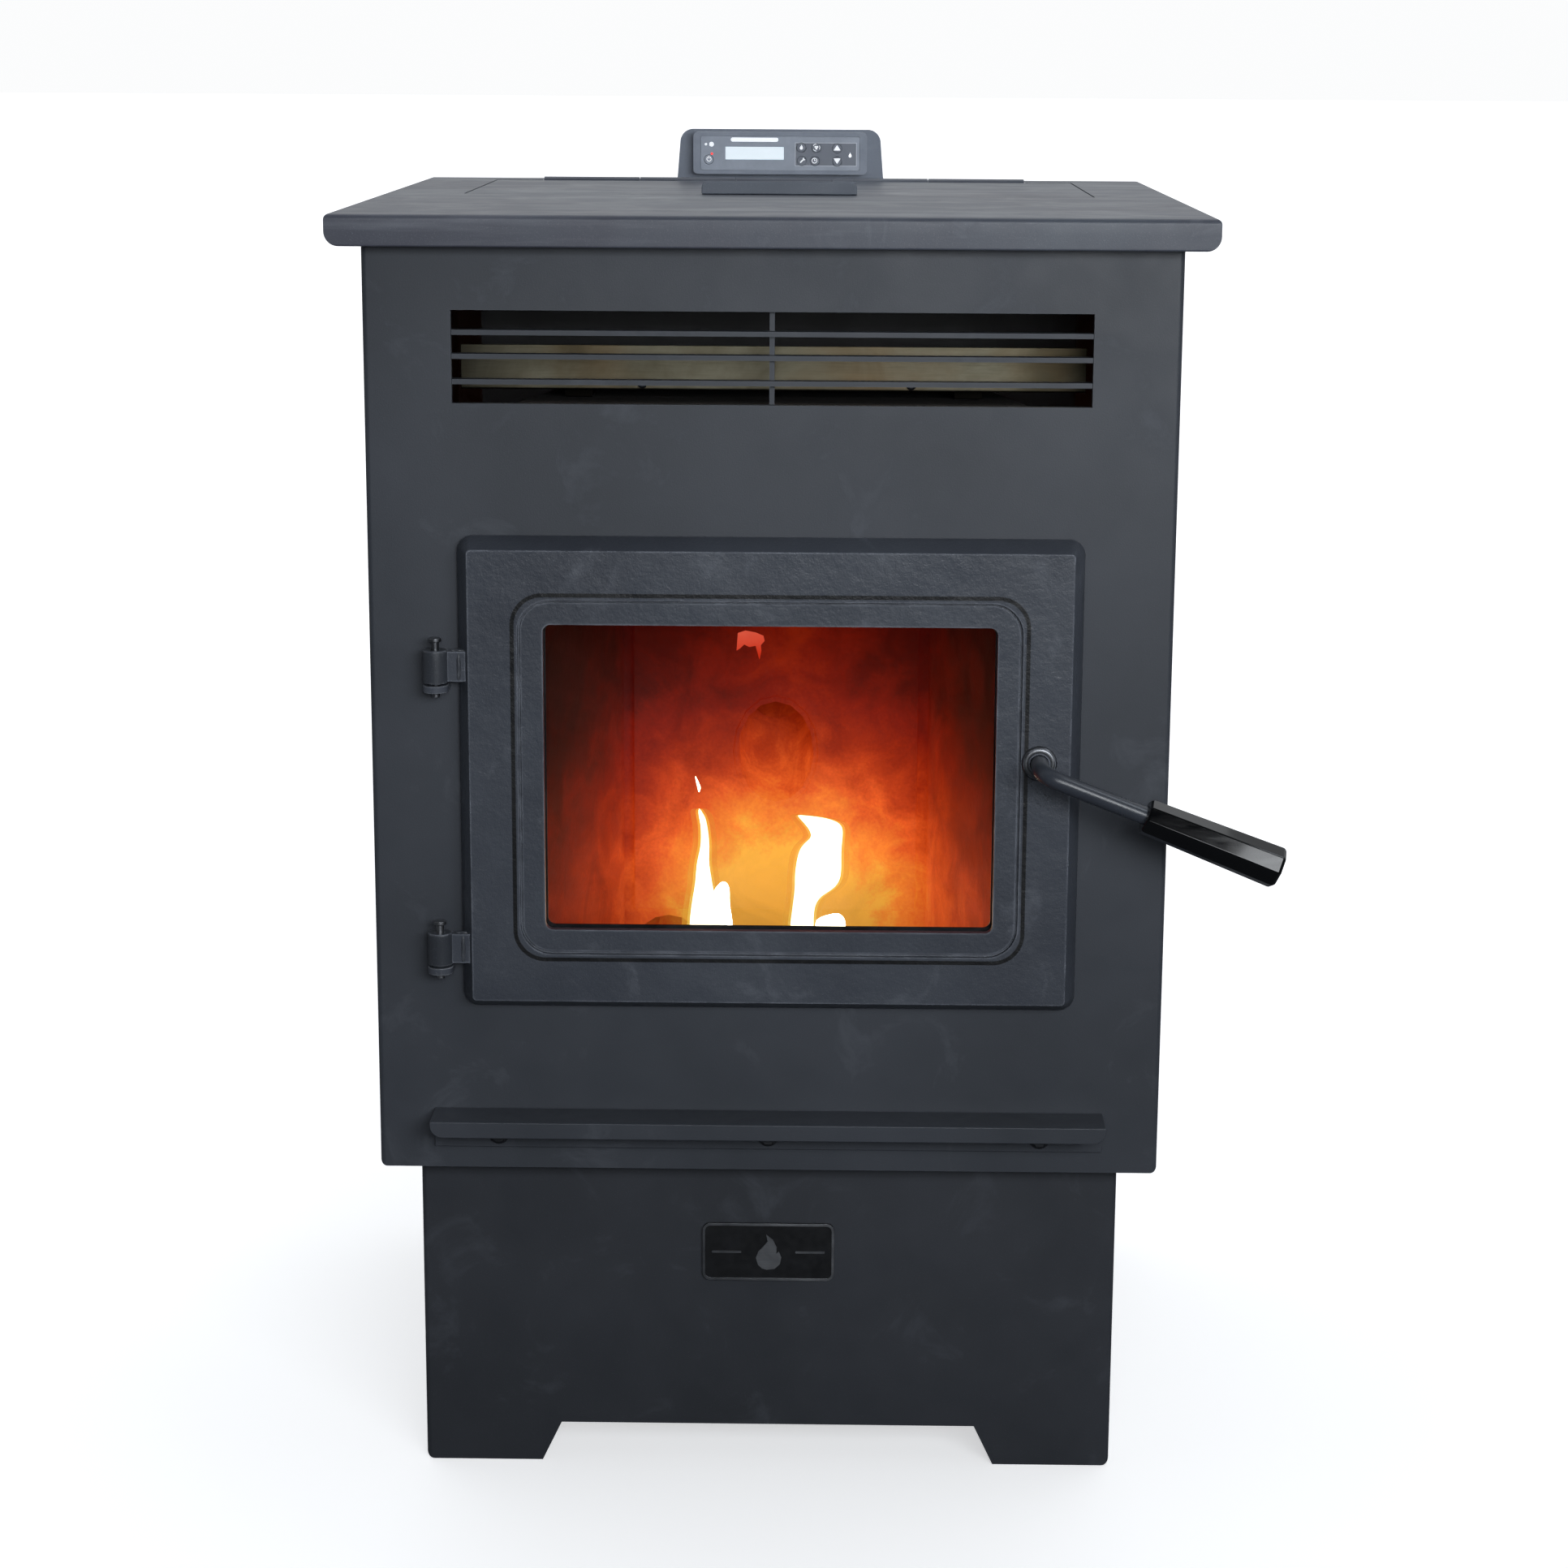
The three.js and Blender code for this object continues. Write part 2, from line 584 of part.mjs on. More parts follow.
// Front sheet with short returns round the sides, drawn in plan.
function wrappedSheet(half, front) {
  const shape = new THREE.Shape();
  const back = front + RETURN_DEPTH;
  shape.moveTo(-half, back);
  shape.lineTo(-half, front + CABINET_BEND);
  shape.absarc(-half + CABINET_BEND, front + CABINET_BEND, CABINET_BEND, Math.PI, 1.5 * Math.PI);
  shape.lineTo(half - CABINET_BEND, front);
  shape.absarc(half - CABINET_BEND, front + CABINET_BEND, CABINET_BEND, -Math.PI / 2, 0);
  shape.lineTo(half, back);
  shape.lineTo(half - SHEET, back);
  shape.lineTo(half - SHEET, front + SHEET);
  shape.lineTo(-half + SHEET, front + SHEET);
  shape.lineTo(-half + SHEET, back);
  return shape;
}

// The cabinet's way through for the latch finger, beside the door opening.
const keeperLeft = handleX - CAM_HUB_RADIUS - SWING_GAP / 2;
const keeperRight = handleX + CAM_LENGTH + SWING_GAP;
const keeperBottom = handleZ - CAM_LENGTH - SWING_GAP;
const keeperTop = handleZ + CAM_HUB_RADIUS + SWING_GAP;

function frontPanel() {
  const sheet = plateXY(wrappedSheet(halfWidth, cabinetFront), cabinetBottom, cabinetTop);
  const outline = roundedRect(-halfWidth, halfWidth, cabinetBottom, cabinetTop, CABINET_CORNER, 0);
  const louvreHalf = halfWidth - LOUVRE_SIDE_MARGIN;
  return cut(
    sheet.intersect(plateXZ(outline, 0, cabinetBack)),
    box(-louvreHalf, louvreHalf, 0, panelBack + 1, louvreBottom, louvreTop),
    box(-openingHalf, openingHalf, 0, panelBack + 1, openingBottom, openingTop),
    box(keeperLeft, keeperRight, 0, panelBack + 1, keeperBottom, keeperTop),
  );
}

function sidePanel(side) {
  const x0 = side > 0 ? innerHalf : -halfWidth;
  const x1 = side > 0 ? halfWidth : -innerHalf;
  const y0 = cabinetFront + RETURN_DEPTH + GAP;
  const y1 = backPanelFront - GAP;
  const vents = [];
  for (let i = 0; i < SIDE_VENTS; i++) {
    const z = cabinetBottom + VENT_RISE + i * VENT_PITCH;
    const back = cabinetBack - SIDE_VENT_BACK_MARGIN;
    vents.push(box(x0 - 1, x1 + 1, back - SIDE_VENT_LENGTH, back, z, z + VENT_HEIGHT));
  }
  return cut(box(x0, x1, y0, y1, cabinetBottom, cabinetTop), ...vents);
}

function backPanel() {
  const cuts = [
    rodY(FLUE_X, backPanelFront - 1, cabinetBack + 1, exhaustZ, FLUE_RADIUS + GAP, 24),
    rodY(INTAKE_X, backPanelFront - 1, cabinetBack + 1, intakeZ, INTAKE_RADIUS + GAP, 20),
    inletBlock(GAP, backPanelFront - 1, cabinetBack + 1),
  ];
  for (let i = 0; i < BACK_VENTS; i++) {
    const z = cabinetBottom + VENT_RISE + i * VENT_PITCH;
    const x0 = CONVECTION_X - VENT_LENGTH / 2;
    cuts.push(box(x0, x0 + VENT_LENGTH, backPanelFront - 1, cabinetBack + 1, z, z + VENT_HEIGHT));
  }
  return cut(box(-halfWidth, halfWidth, backPanelFront, cabinetBack, cabinetBottom, cabinetTop), ...cuts);
}

const basePlate = () =>
  box(-innerHalf + GAP, innerHalf - GAP, panelBack + GAP, backPanelFront - GAP, cabinetBottom, floorTop);

function louvreGrille() {
  const slotHalf = halfWidth - LOUVRE_SIDE_MARGIN;
  const front = panelBack + GAP;
  const frame = cut(
    box(-slotHalf - GRILLE_FRAME, slotHalf + GRILLE_FRAME, front, front + SHEET,
      louvreBottom - GRILLE_FRAME / 2, louvreTop + GRILLE_FRAME),
    box(-slotHalf, slotHalf, front - 1, front + SHEET + 1, louvreBottom, louvreTop),
  );
  const bars = BAR_DROPS.map((drop) => {
    const z = louvreTop - drop;
    return join(
      box(-slotHalf + GAP, slotHalf - GAP, cabinetFront, cabinetFront + BAR_DEPTH,
        z - BAR_THICKNESS / 2, z + BAR_THICKNESS / 2),
      box(-slotHalf - GRILLE_FRAME / 2, slotHalf + GRILLE_FRAME / 2, front + 1, cabinetFront + BAR_DEPTH,
        z - BAR_THICKNESS / 2, z + BAR_THICKNESS / 2),
    );
  });
  const upright = box(-BAR_THICKNESS / 2, BAR_THICKNESS / 2, cabinetFront + BAR_DEPTH - 2,
    cabinetFront + 1.6 * BAR_DEPTH, louvreBottom - GRILLE_FRAME / 4, louvreTop + GRILLE_FRAME / 2);
  const stays = [louvreBottom - GRILLE_FRAME / 4, louvreTop + GRILLE_FRAME / 4].map((z) =>
    box(-BAR_THICKNESS / 2, BAR_THICKNESS / 2, front + 1, cabinetFront + BAR_DEPTH, z - 1, z + 1));
  return join(frame, ...bars, upright, ...stays);
}

function heatShield() {
  const half = halfWidth - LOUVRE_SIDE_MARGIN;
  const front = cabinetFront + SHIELD_SETBACK;
  const bottom = louvreBottom + SHIELD_LIFT;
  const legs = [-1, 1].map((side) => {
    const x = side * (fireboxHalf - SHIELD_LEG_INSET);
    return box(x - SHIELD_LEG_WIDTH / 2, x + SHIELD_LEG_WIDTH / 2, front + SHIELD_LEG_SETBACK,
      front + SHIELD_DEPTH, fireboxTop + GAP, bottom + 1);
  });
  return join(
    box(-half, half, front, front + THIN_SHEET, bottom, bottom + SHIELD_FACE),
    box(-half, half, front, front + SHIELD_DEPTH, bottom, bottom + THIN_SHEET),
    ...legs,
  );
}

// ---- Pedestal ----

const pedestalHalf = halfWidth - PEDESTAL_INSET_SIDE;
const pedestalFront = cabinetFront + PEDESTAL_INSET_FRONT;
const pedestalBack = cabinetBack - PEDESTAL_INSET_FRONT;
const pedestalTop = cabinetBottom - GAP;

// The gap between two feet, from a to b along the floor.
const footGap = (a, b) => polygon([
  [a + FOOT_LENGTH, -1],
  [b - FOOT_LENGTH, -1],
  [b - FOOT_LENGTH - FOOT_SLOPE, FOOT_HEIGHT],
  [a + FOOT_LENGTH + FOOT_SLOPE, FOOT_HEIGHT],
]);

function pedestalFrontPanel() {
  const sheet = plateXY(wrappedSheet(pedestalHalf, pedestalFront), 0, pedestalTop);
  const outline = roundedRect(-pedestalHalf, pedestalHalf, 0, pedestalTop, PEDESTAL_CORNER, 0);
  const inner = pedestalHalf - SHEET - GAP;
  const topFlange = box(-inner, inner, pedestalFront + 1, pedestalFront + FLANGE,
    pedestalTop - SHEET, pedestalTop);
  const footFlange = box(-inner, inner, pedestalFront + 1, pedestalFront + FLANGE, 0, SHEET);
  return cut(
    join(sheet.intersect(plateXZ(outline, 0, cabinetBack)), topFlange, footFlange),
    plateXZ(footGap(-pedestalHalf, pedestalHalf), 0, pedestalFront + FLANGE + 1),
  );
}

function pedestalShell() {
  const front = pedestalFront + RETURN_DEPTH + GAP;
  const outer = box(-pedestalHalf, pedestalHalf, front, pedestalBack, 0, pedestalTop);
  const inner = pedestalHalf - SHEET;
  const hollow = box(-inner, inner, front - 1, pedestalBack - SHEET, -1, pedestalTop + 1);
  const ledges = cut(
    box(-inner - 1, inner + 1, pedestalFront + FLANGE + GAP, pedestalBack - 1, 0, pedestalTop),
    box(-inner + FLANGE, inner - FLANGE, front - 1, pedestalBack - SHEET - FLANGE, -1, pedestalTop + 1),
    box(-inner - 2, inner + 2, front - 1, pedestalBack, SHEET, pedestalTop - SHEET),
  );
  const gapBack = plateXZ(footGap(-pedestalHalf, pedestalHalf), pedestalBack - FLANGE - SHEET - 1,
    pedestalBack + 1);
  const gapSides = plateYZ(footGap(pedestalFront, pedestalBack), -pedestalHalf - 1, pedestalHalf + 1);
  const walls = cut(outer, hollow);
  return cut(join(walls, ledges), gapBack, gapSides);
}

function ashShelf() {
  const half = SHELF_WIDTH / 2;
  const back = cabinetFront - GAP;
  const front = cabinetFront - SHELF_DEPTH;
  const top = cabinetBottom + SHELF_RISE;
  const lip = plateXZ(roundedRect(-half, half, top - SHELF_LIP, top, SHELF_CORNER, 0), front, front + SHEET);
  return join(
    lip,
    box(-half, half, front + 1, back, top - SHEET, top),
    box(-half, half, back - SHEET, back, top - SHELF_BACK, top),
  );
}

const badgePlate = () => plateXZ(
  roundedRect(-BADGE_WIDTH / 2, BADGE_WIDTH / 2, BADGE_RISE, BADGE_RISE + BADGE_HEIGHT, BADGE_CORNER),
  pedestalFront - GAP - BADGE_THICKNESS, pedestalFront - GAP,
);

// ---- Hopper and lid ----

// The hopper's outer shape, drawn in by the given amount.
function hopperShape(inset) {
  const half = mouthHalf + THIN_SHEET - inset;
  const front = mouthFront - THIN_SHEET + inset;
  const back = mouthBack + THIN_SHEET - inset;
  const top = cabinetTop + (inset ? 1 : 0);
  const shoulder = topZ - HOPPER_SHOULDER_DROP;
  const throat = cabinetBottom + THROAT_RISE;
  const throatHalf = THROAT_WIDTH / 2 - inset;
  const throatFront = throatStart + inset;
  const throatBack = throatStart + THROAT_DEPTH - inset;
  const throatBottom = augerBottom.z - (inset ? 1 : 0);
  return join(
    box(-half, half, front, back, shoulder - 0.01, top),
    hull([
      ...boxCorners(-half, half, front, back, shoulder),
      ...boxCorners(-throatHalf, throatHalf, throatFront, throatBack, throat),
    ]),
    box(-throatHalf, throatHalf, throatFront, throatBack, throatBottom, throat + 0.01),
  );
}

function hopper() {
  const reach = LID_LEDGE + HOPPER_FLANGE;
  const flange = box(-mouthHalf - reach, mouthHalf + reach, mouthFront - reach, lidBack - 1,
    cabinetTop - THIN_SHEET, cabinetTop);
  const tube = rod(
    augerTop.clone().addScaledVector(augerAxis, AUGER_CAP),
    augerBottom.clone().addScaledVector(augerAxis, -AUGER_TUBE_RADIUS),
    AUGER_TUBE_RADIUS + GAP, 24,
  );
  const below = new THREE.BoxGeometry(THROAT_WIDTH + 2, AUGER_LENGTH, 3 * AUGER_LENGTH);
  below.translate(0, -AUGER_LENGTH / 2, 0);
  below.rotateX(AUGER_TILT);
  below.translate(...augerBottom.toArray());
  return cut(hopperShape(0).add(flange), hopperShape(THIN_SHEET), tube, solidOf(below));
}

const hopperLid = () => cut(
  join(
    box(-lidOpeningHalf + LID_SEAM, lidOpeningHalf - LID_SEAM, lidOpeningFront + LID_SEAM, lidBack,
      topZ - SHEET, topZ),
    lidKnuckles(true),
  ),
  lidPinBore(),
);

function lidHandle() {
  const half = LID_HANDLE_LENGTH / 2;
  const front = lidOpeningFront + LID_SEAM + LID_HANDLE_SETBACK;
  const bottom = topZ + GAP;
  const top = bottom + LID_HANDLE_HEIGHT;
  return join(
    plateXZ(roundedRect(-half, half, bottom, top, 0, LID_HANDLE_HEIGHT / 2), front, front + SHEET),
    box(-half, half, front + 1, front + LID_HANDLE_FOOT, bottom, bottom + THIN_SHEET),
  );
}

function lidSeal() {
  const outer = mouthHalf - SWING_GAP;
  const front = mouthFront + SWING_GAP;
  const back = mouthBack - SWING_GAP;
  const top = topZ - SHEET - GAP;
  return cut(
    box(-outer, outer, front, back, top - SEAL_DEPTH, top),
    box(-outer + SEAL_WIDTH, outer - SEAL_WIDTH, front + SEAL_WIDTH, back - SEAL_WIDTH,
      top - SEAL_DEPTH - 1, top + 1),
  );
}

const lidHingePin = () => rodX(
  -lidOpeningHalf + LID_HINGE_MARGIN - 1, lidOpeningHalf - LID_HINGE_MARGIN + 1,
  lidAxisY, lidAxisZ, LID_PIN_RADIUS, 12,
);

// ---- Control panel ----

function controlBracket() {
  const front = housingBack + GAP;
  const bottom = topZ + GAP;
  const top = bottom + BRACKET_HEIGHT;
  const lean = (BRACKET_WIDTH - BRACKET_TOP_WIDTH) / 2;
  const half = BRACKET_WIDTH / 2;
  const r = BRACKET_CORNER;
  const shape = new THREE.Shape();
  shape.moveTo(CONTROL_OFFSET_X - half, bottom);
  shape.lineTo(CONTROL_OFFSET_X + half, bottom);
  shape.lineTo(CONTROL_OFFSET_X + half - lean, top - r);
  shape.absarc(CONTROL_OFFSET_X + half - lean - r, top - r, r, 0, Math.PI / 2);
  shape.lineTo(CONTROL_OFFSET_X - half + lean + r, top);
  shape.absarc(CONTROL_OFFSET_X - half + lean + r, top - r, r, Math.PI / 2, Math.PI);
  return join(
    plateXZ(shape, front, front + THIN_SHEET, 6),
    box(CONTROL_OFFSET_X - half, CONTROL_OFFSET_X + half, front + 1, front + BRACKET_FOOT,
      bottom, bottom + THIN_SHEET),
  );
}

const overlayOutline = (margin) => roundedRect(
  CONTROL_OFFSET_X - OVERLAY_WIDTH / 2 - margin, CONTROL_OFFSET_X + OVERLAY_WIDTH / 2 + margin,
  overlayZ - OVERLAY_HEIGHT / 2 - margin, overlayZ + OVERLAY_HEIGHT / 2 + margin, 2,
);

const screenBlock = (margin, y0, y1) => box(
  CONTROL_OFFSET_X + LCD_X - LCD_WIDTH / 2 - margin, CONTROL_OFFSET_X + LCD_X + LCD_WIDTH / 2 + margin,
  y0, y1, overlayZ - LCD_HEIGHT / 2 - margin, overlayZ + LCD_HEIGHT / 2 + margin,
);

const buttonRod = ([x, z], margin, y0, y1) =>
  rodY(CONTROL_OFFSET_X + x, y0, y1, overlayZ + z, BUTTON_RADIUS + margin, 10);

function controllerHousing() {
  const half = HOUSING_WIDTH / 2;
  const shell = plateXZ(
    roundedRect(CONTROL_OFFSET_X - half, CONTROL_OFFSET_X + half, housingBottom,
      housingBottom + HOUSING_HEIGHT, HOUSING_CORNER),
    housingFront, housingBack,
  );
  const pockets = Object.values(BUTTONS).map((place) =>
    buttonRod(place, GAP, housingFront, overlayFront + BUTTON_DEPTH + BUTTON_TRAVEL + GAP));
  return cut(
    shell,
    plateXZ(overlayOutline(GAP), housingFront - 1, overlayBack + GAP),
    screenBlock(GAP, housingFront, overlayBack + LCD_THICKNESS + 2 * GAP),
    ...pockets,
  );
}

const controllerOverlay = () => cut(
  plateXZ(overlayOutline(0), overlayFront, overlayBack),
  screenBlock(-1, overlayFront - 1, overlayBack + 1),
  ...Object.values(BUTTONS).map((place) => buttonRod(place, GAP, overlayFront - 1, overlayBack + 1)),
);

const lcdDisplay = () => screenBlock(0, overlayBack + GAP, overlayBack + GAP + LCD_THICKNESS);

const button = (place) => buttonRod(place, 0, overlayFront, overlayFront + BUTTON_DEPTH);

// ---- Door ----

// The rectangle that lies inside the door's edge by the given amount.
const doorRect = (inset, radius) =>
  roundedRect(-doorHalf + inset, doorHalf - inset, doorBottom + inset, doorTop - inset, radius);

const gasketRing = (inset, width, y0, y1) => cut(
  plateXZ(doorRect(inset - width, GLASS_CORNER + width), y0, y1),
  plateXZ(doorRect(inset, GLASS_CORNER), y0 - 1, y1 + 1),
);

const hingeBottoms = [doorTop - HINGE_TOP_DROP, doorBottom + HINGE_BOTTOM_RISE];
const barrelBottom = (z) => z + KNUCKLE_HEIGHT + BARREL_GAP;

const bezelGroove = () => cut(
  plateXZ(doorRect(BEZEL_MARGIN, BEZEL_CORNER), doorFace, doorFace + BEZEL_DEPTH + BEZEL_GROOVE_DEPTH),
  plateXZ(
    doorRect(BEZEL_MARGIN + BEZEL_GROOVE_WIDTH, BEZEL_CORNER - BEZEL_GROOVE_WIDTH),
    doorFace - 1, doorFace + BEZEL_DEPTH + BEZEL_GROOVE_DEPTH + 1,
  ),
);

function doorFrame() {
  const depth = doorBack - doorFace;
  const slab = new THREE.ExtrudeGeometry(doorRect(DOOR_BEVEL, DOOR_CORNER), {
    depth,
    bevelThickness: DOOR_BEVEL_DEPTH,
    bevelSize: DOOR_BEVEL,
    bevelSegments: 1,
    curveSegments: 4,
  });
  slab.rotateX(Math.PI / 2);
  slab.translate(0, doorBack + DOOR_BEVEL_DEPTH, 0);
  const rebate = GLASS_MARGIN - GLASS_LAP - GAP;
  const behind = cabinetBack;
  const casting = cut(
    solidOf(slab),
    box(-topHalf, topHalf, doorBack, behind, 0, topZ),
    plateXZ(doorRect(BEZEL_MARGIN, BEZEL_CORNER), doorFace - 1, doorFace + BEZEL_DEPTH),
    bezelGroove(),
    plateXZ(doorRect(GLASS_MARGIN, GLASS_CORNER), doorFace - 1, behind),
    plateXZ(doorRect(rebate, 1), doorFace + GLASS_SEAT, behind),
    gasketRing(grooveInset, GASKET_WIDTH + 2 * GAP, cabinetFront - GASKET_DEPTH - 2 * GAP, behind),
  );
  const hinges = hingeBottoms.map((bottom) => {
    const z = barrelBottom(bottom);
    return join(
      rodZ(hingeX, hingeY, z, z + BARREL_HEIGHT, BARREL_RADIUS),
      box(hingeX, -doorHalf + DOOR_BEVEL + 1, hingeY - HINGE_TAB_THICKNESS / 4,
        hingeY + 0.75 * HINGE_TAB_THICKNESS, z + 1, z + BARREL_HEIGHT - 1),
    );
  });
  const boss = rodY(handleX, doorFace - BOSS_HEIGHT, doorFace + 1, handleZ, BOSS_RADIUS, 20);
  return cut(
    join(casting, boss, ...hinges),
    rodY(handleX, doorFace - BOSS_HEIGHT - 1, behind, handleZ, HANDLE_RADIUS + PIN_GAP, 20),
    rodZ(hingeX, hingeY, doorBottom, doorTop, PIN_RADIUS + PIN_GAP),
  );
}

const doorGlass = () =>
  plateXZ(doorRect(GLASS_MARGIN - GLASS_LAP, 1), glassFront, glassBack, 1);

const glassRetainer = () => cut(
  plateXZ(doorRect(GLASS_MARGIN - GLASS_LAP, 1), glassBack + GAP, glassBack + GAP + RETAINER_THICKNESS, 1),
  plateXZ(doorRect(GLASS_MARGIN + 1, GLASS_CORNER), glassBack, glassBack + RETAINER_THICKNESS + 1),
);

const doorGasket = () =>
  gasketRing(gasketInset, GASKET_WIDTH, cabinetFront - GAP - GASKET_DEPTH, cabinetFront - GAP);

const hingeBracket = (z) => cut(
  join(
    rodZ(hingeX, hingeY, z, z + KNUCKLE_HEIGHT, KNUCKLE_RADIUS),
    box(hingeX - KNUCKLE_RADIUS, hingeX + KNUCKLE_RADIUS, hingeY, cabinetFront - GAP,
      z, z + KNUCKLE_HEIGHT),
  ),
  rodZ(hingeX, hingeY, z - 1, z + KNUCKLE_HEIGHT + 1, PIN_RADIUS + PIN_GAP),
);

function hingePin(z) {
  const headBottom = barrelBottom(z) + BARREL_HEIGHT + PIN_ABOVE;
  return join(
    rodZ(hingeX, hingeY, z - PIN_BELOW, headBottom + 1, PIN_RADIUS),
    rodZ(hingeX, hingeY, headBottom, headBottom + PIN_HEAD_HEIGHT, PIN_HEAD_RADIUS),
  );
}

// ---- Handle, about the point where its axis meets the lever's plane ----

const leverDirection = point(Math.cos(HANDLE_DROOP), 0, -Math.sin(HANDLE_DROOP));
const camFront = doorBack + CAM_GAP;

function handleRod() {
  const bendStart = point(0, HANDLE_BEND, 0);
  const bendEnd = leverDirection.clone().multiplyScalar(HANDLE_BEND);
  const inner = point(0, camFront + CAM_THICKNESS - leverY, 0);
  const outer = leverDirection.clone().multiplyScalar(LEVER_LENGTH + GRIP_BORE - SWING_GAP);
  const path = new THREE.CurvePath();
  path.add(new THREE.LineCurve3(inner, bendStart));
  path.add(new THREE.QuadraticBezierCurve3(bendStart, point(0, 0, 0), bendEnd));
  path.add(new THREE.LineCurve3(bendEnd, outer));
  const section = new THREE.Shape().absarc(0, 0, HANDLE_RADIUS, 0, 2 * Math.PI);
  return new THREE.ExtrudeGeometry(section, { steps: 26, curveSegments: 5, extrudePath: path });
}

// Built along +Y from the end near the door, with an eight-sided section.
function handleGrip() {
  const chamfer = 2;
  const profile = [
    [0, 0],
    [GRIP_START_RADIUS - chamfer / 2, 0],
    [GRIP_START_RADIUS, chamfer],
    [GRIP_END_RADIUS, GRIP_LENGTH - chamfer],
    [GRIP_END_RADIUS - chamfer, GRIP_LENGTH],
    [0, GRIP_LENGTH],
  ].map(([r, y]) => new THREE.Vector2(r, y));
  const body = solidOf(new THREE.LatheGeometry(profile, GRIP_SIDES));
  return body.subtract(rodY(0, -1, GRIP_BORE, 0, HANDLE_RADIUS + GAP));
}

function latchCam() {
  const finger = box(-CAM_WIDTH / 2, CAM_WIDTH / 2, 0, CAM_THICKNESS, -CAM_LENGTH, 0);
  return cut(
    finger.add(rodY(0, 0, CAM_THICKNESS, 0, CAM_HUB_RADIUS)),
    rodY(0, -1, CAM_THICKNESS + 1, 0, HANDLE_RADIUS + GAP),
  );
}

function latchKeeper() {
  const front = panelBack + GAP;
  return cut(
    box(keeperLeft, keeperRight + KEEPER_RIM, front, front + SHEET,
      keeperBottom - KEEPER_RIM, keeperTop + KEEPER_RIM),
    box(keeperLeft - 1, keeperRight, front - 1, front + SHEET + 1, keeperBottom, keeperTop),
  );
}

// ---- Firebox ----

function fireboxPlan(inset) {
  const front = fireboxFront + inset;
  const taper = fireboxFront + FIREBOX_TAPER_START;
  const half = fireboxHalf - inset;
  const backHalf = FIREBOX_BACK_WIDTH / 2 - inset;
  return polygon([
    [-half, front], [half, front], [half, taper],
    [backHalf, fireboxBack - inset], [-backHalf, fireboxBack - inset], [-half, taper],
  ]);
}

function fireboxShape(inset) {
  const bottom = fireboxBottom + inset;
  const upper = plateXY(fireboxPlan(inset), bottom, fireboxTop - inset).intersect(
    box(-topHalf, topHalf, fireboxUpperFront + inset, topBack, 0, topZ),
  );
  return plateXY(fireboxPlan(inset), bottom, plenumFloor - inset).add(upper);
}

const chuteRod = (radius) => {
  const along = augerTop.clone().sub(chuteMouth).normalize();
  return rod(chuteMouth.clone().addScaledVector(along, -2 * CHUTE_RADIUS), augerTop, radius, 16);
};

function tubeRods(radius, y0, y1) {
  const first = -TUBE_PITCH * (TUBE_COUNT - 1) / 2;
  return Array.from({ length: TUBE_COUNT }, (_, i) =>
    rodY(first + i * TUBE_PITCH, y0, y1, tubeZ, radius, 12));
}

function firebox() {
  const behind = fireboxBack + 1;
  const wall = fireboxBack - PLATE - 1;
  return cut(
    fireboxShape(0),
    fireboxShape(PLATE),
    box(-openingHalf, openingHalf, 0, fireboxFront + PLATE + 1, openingBottom, openingTop),
    chuteRod(CHUTE_RADIUS + CHUTE_WALL + GAP),
    rodY(EXHAUST_X, wall, behind, exhaustZ, EXHAUST_INLET_RADIUS - 2, 16),
    rodY(INTAKE_X, wall, behind, intakeZ, INTAKE_RADIUS - THIN_SHEET, 16),
    rodY(IGNITER_X, wall, behind, potBottom + IGNITER_RISE, IGNITER_RADIUS + GAP, 12),
    ...tubeRods(TUBE_RADIUS + GAP, fireboxFront, behind),
  );
}

function heatExchanger() {
  const front = fireboxUpperFront - TUBE_OVERRUN;
  const back = fireboxBack + TUBE_OVERRUN;
  const half = TUBE_PITCH * TUBE_COUNT / 2;
  const sheet = box(-half, half, fireboxUpperFront - GAP - THIN_SHEET, fireboxUpperFront - GAP,
    tubeZ - TUBE_PITCH / 2, tubeZ + TUBE_PITCH / 2);
  return cut(
    join(sheet, ...tubeRods(TUBE_RADIUS, front, back)),
    ...tubeRods(TUBE_RADIUS - TUBE_WALL, front - 1, back + 1),
  );
}

function fireboxLiner() {
  const back = fireboxBack - PLATE - GAP;
  const bottom = fireboxFloor + LINER_RISE;
  const half = LINER_WIDTH / 2;
  return cut(
    box(-half, half, back - LINER_THICKNESS, back, bottom, bottom + LINER_HEIGHT),
    chuteRod(CHUTE_RADIUS + CHUTE_WALL + GAP),
  );
}

// The air box that the burn pot stands on, open at the back and under the pot.
function burnPotStand() {
  const half = STAND_WIDTH / 2;
  const bottom = fireboxFloor + GAP;
  const front = standBack - STAND_DEPTH;
  return cut(
    box(-half, half, front, standBack, bottom, standTop),
    box(-half + SHEET, half - SHEET, front + SHEET, standBack + 1, bottom + SHEET, standTop - SHEET),
    box(-half + STAND_LIP, half - STAND_LIP, front + STAND_LIP, standBack - STAND_LIP,
      standTop - SHEET - 1, standTop + 1),
  );
}

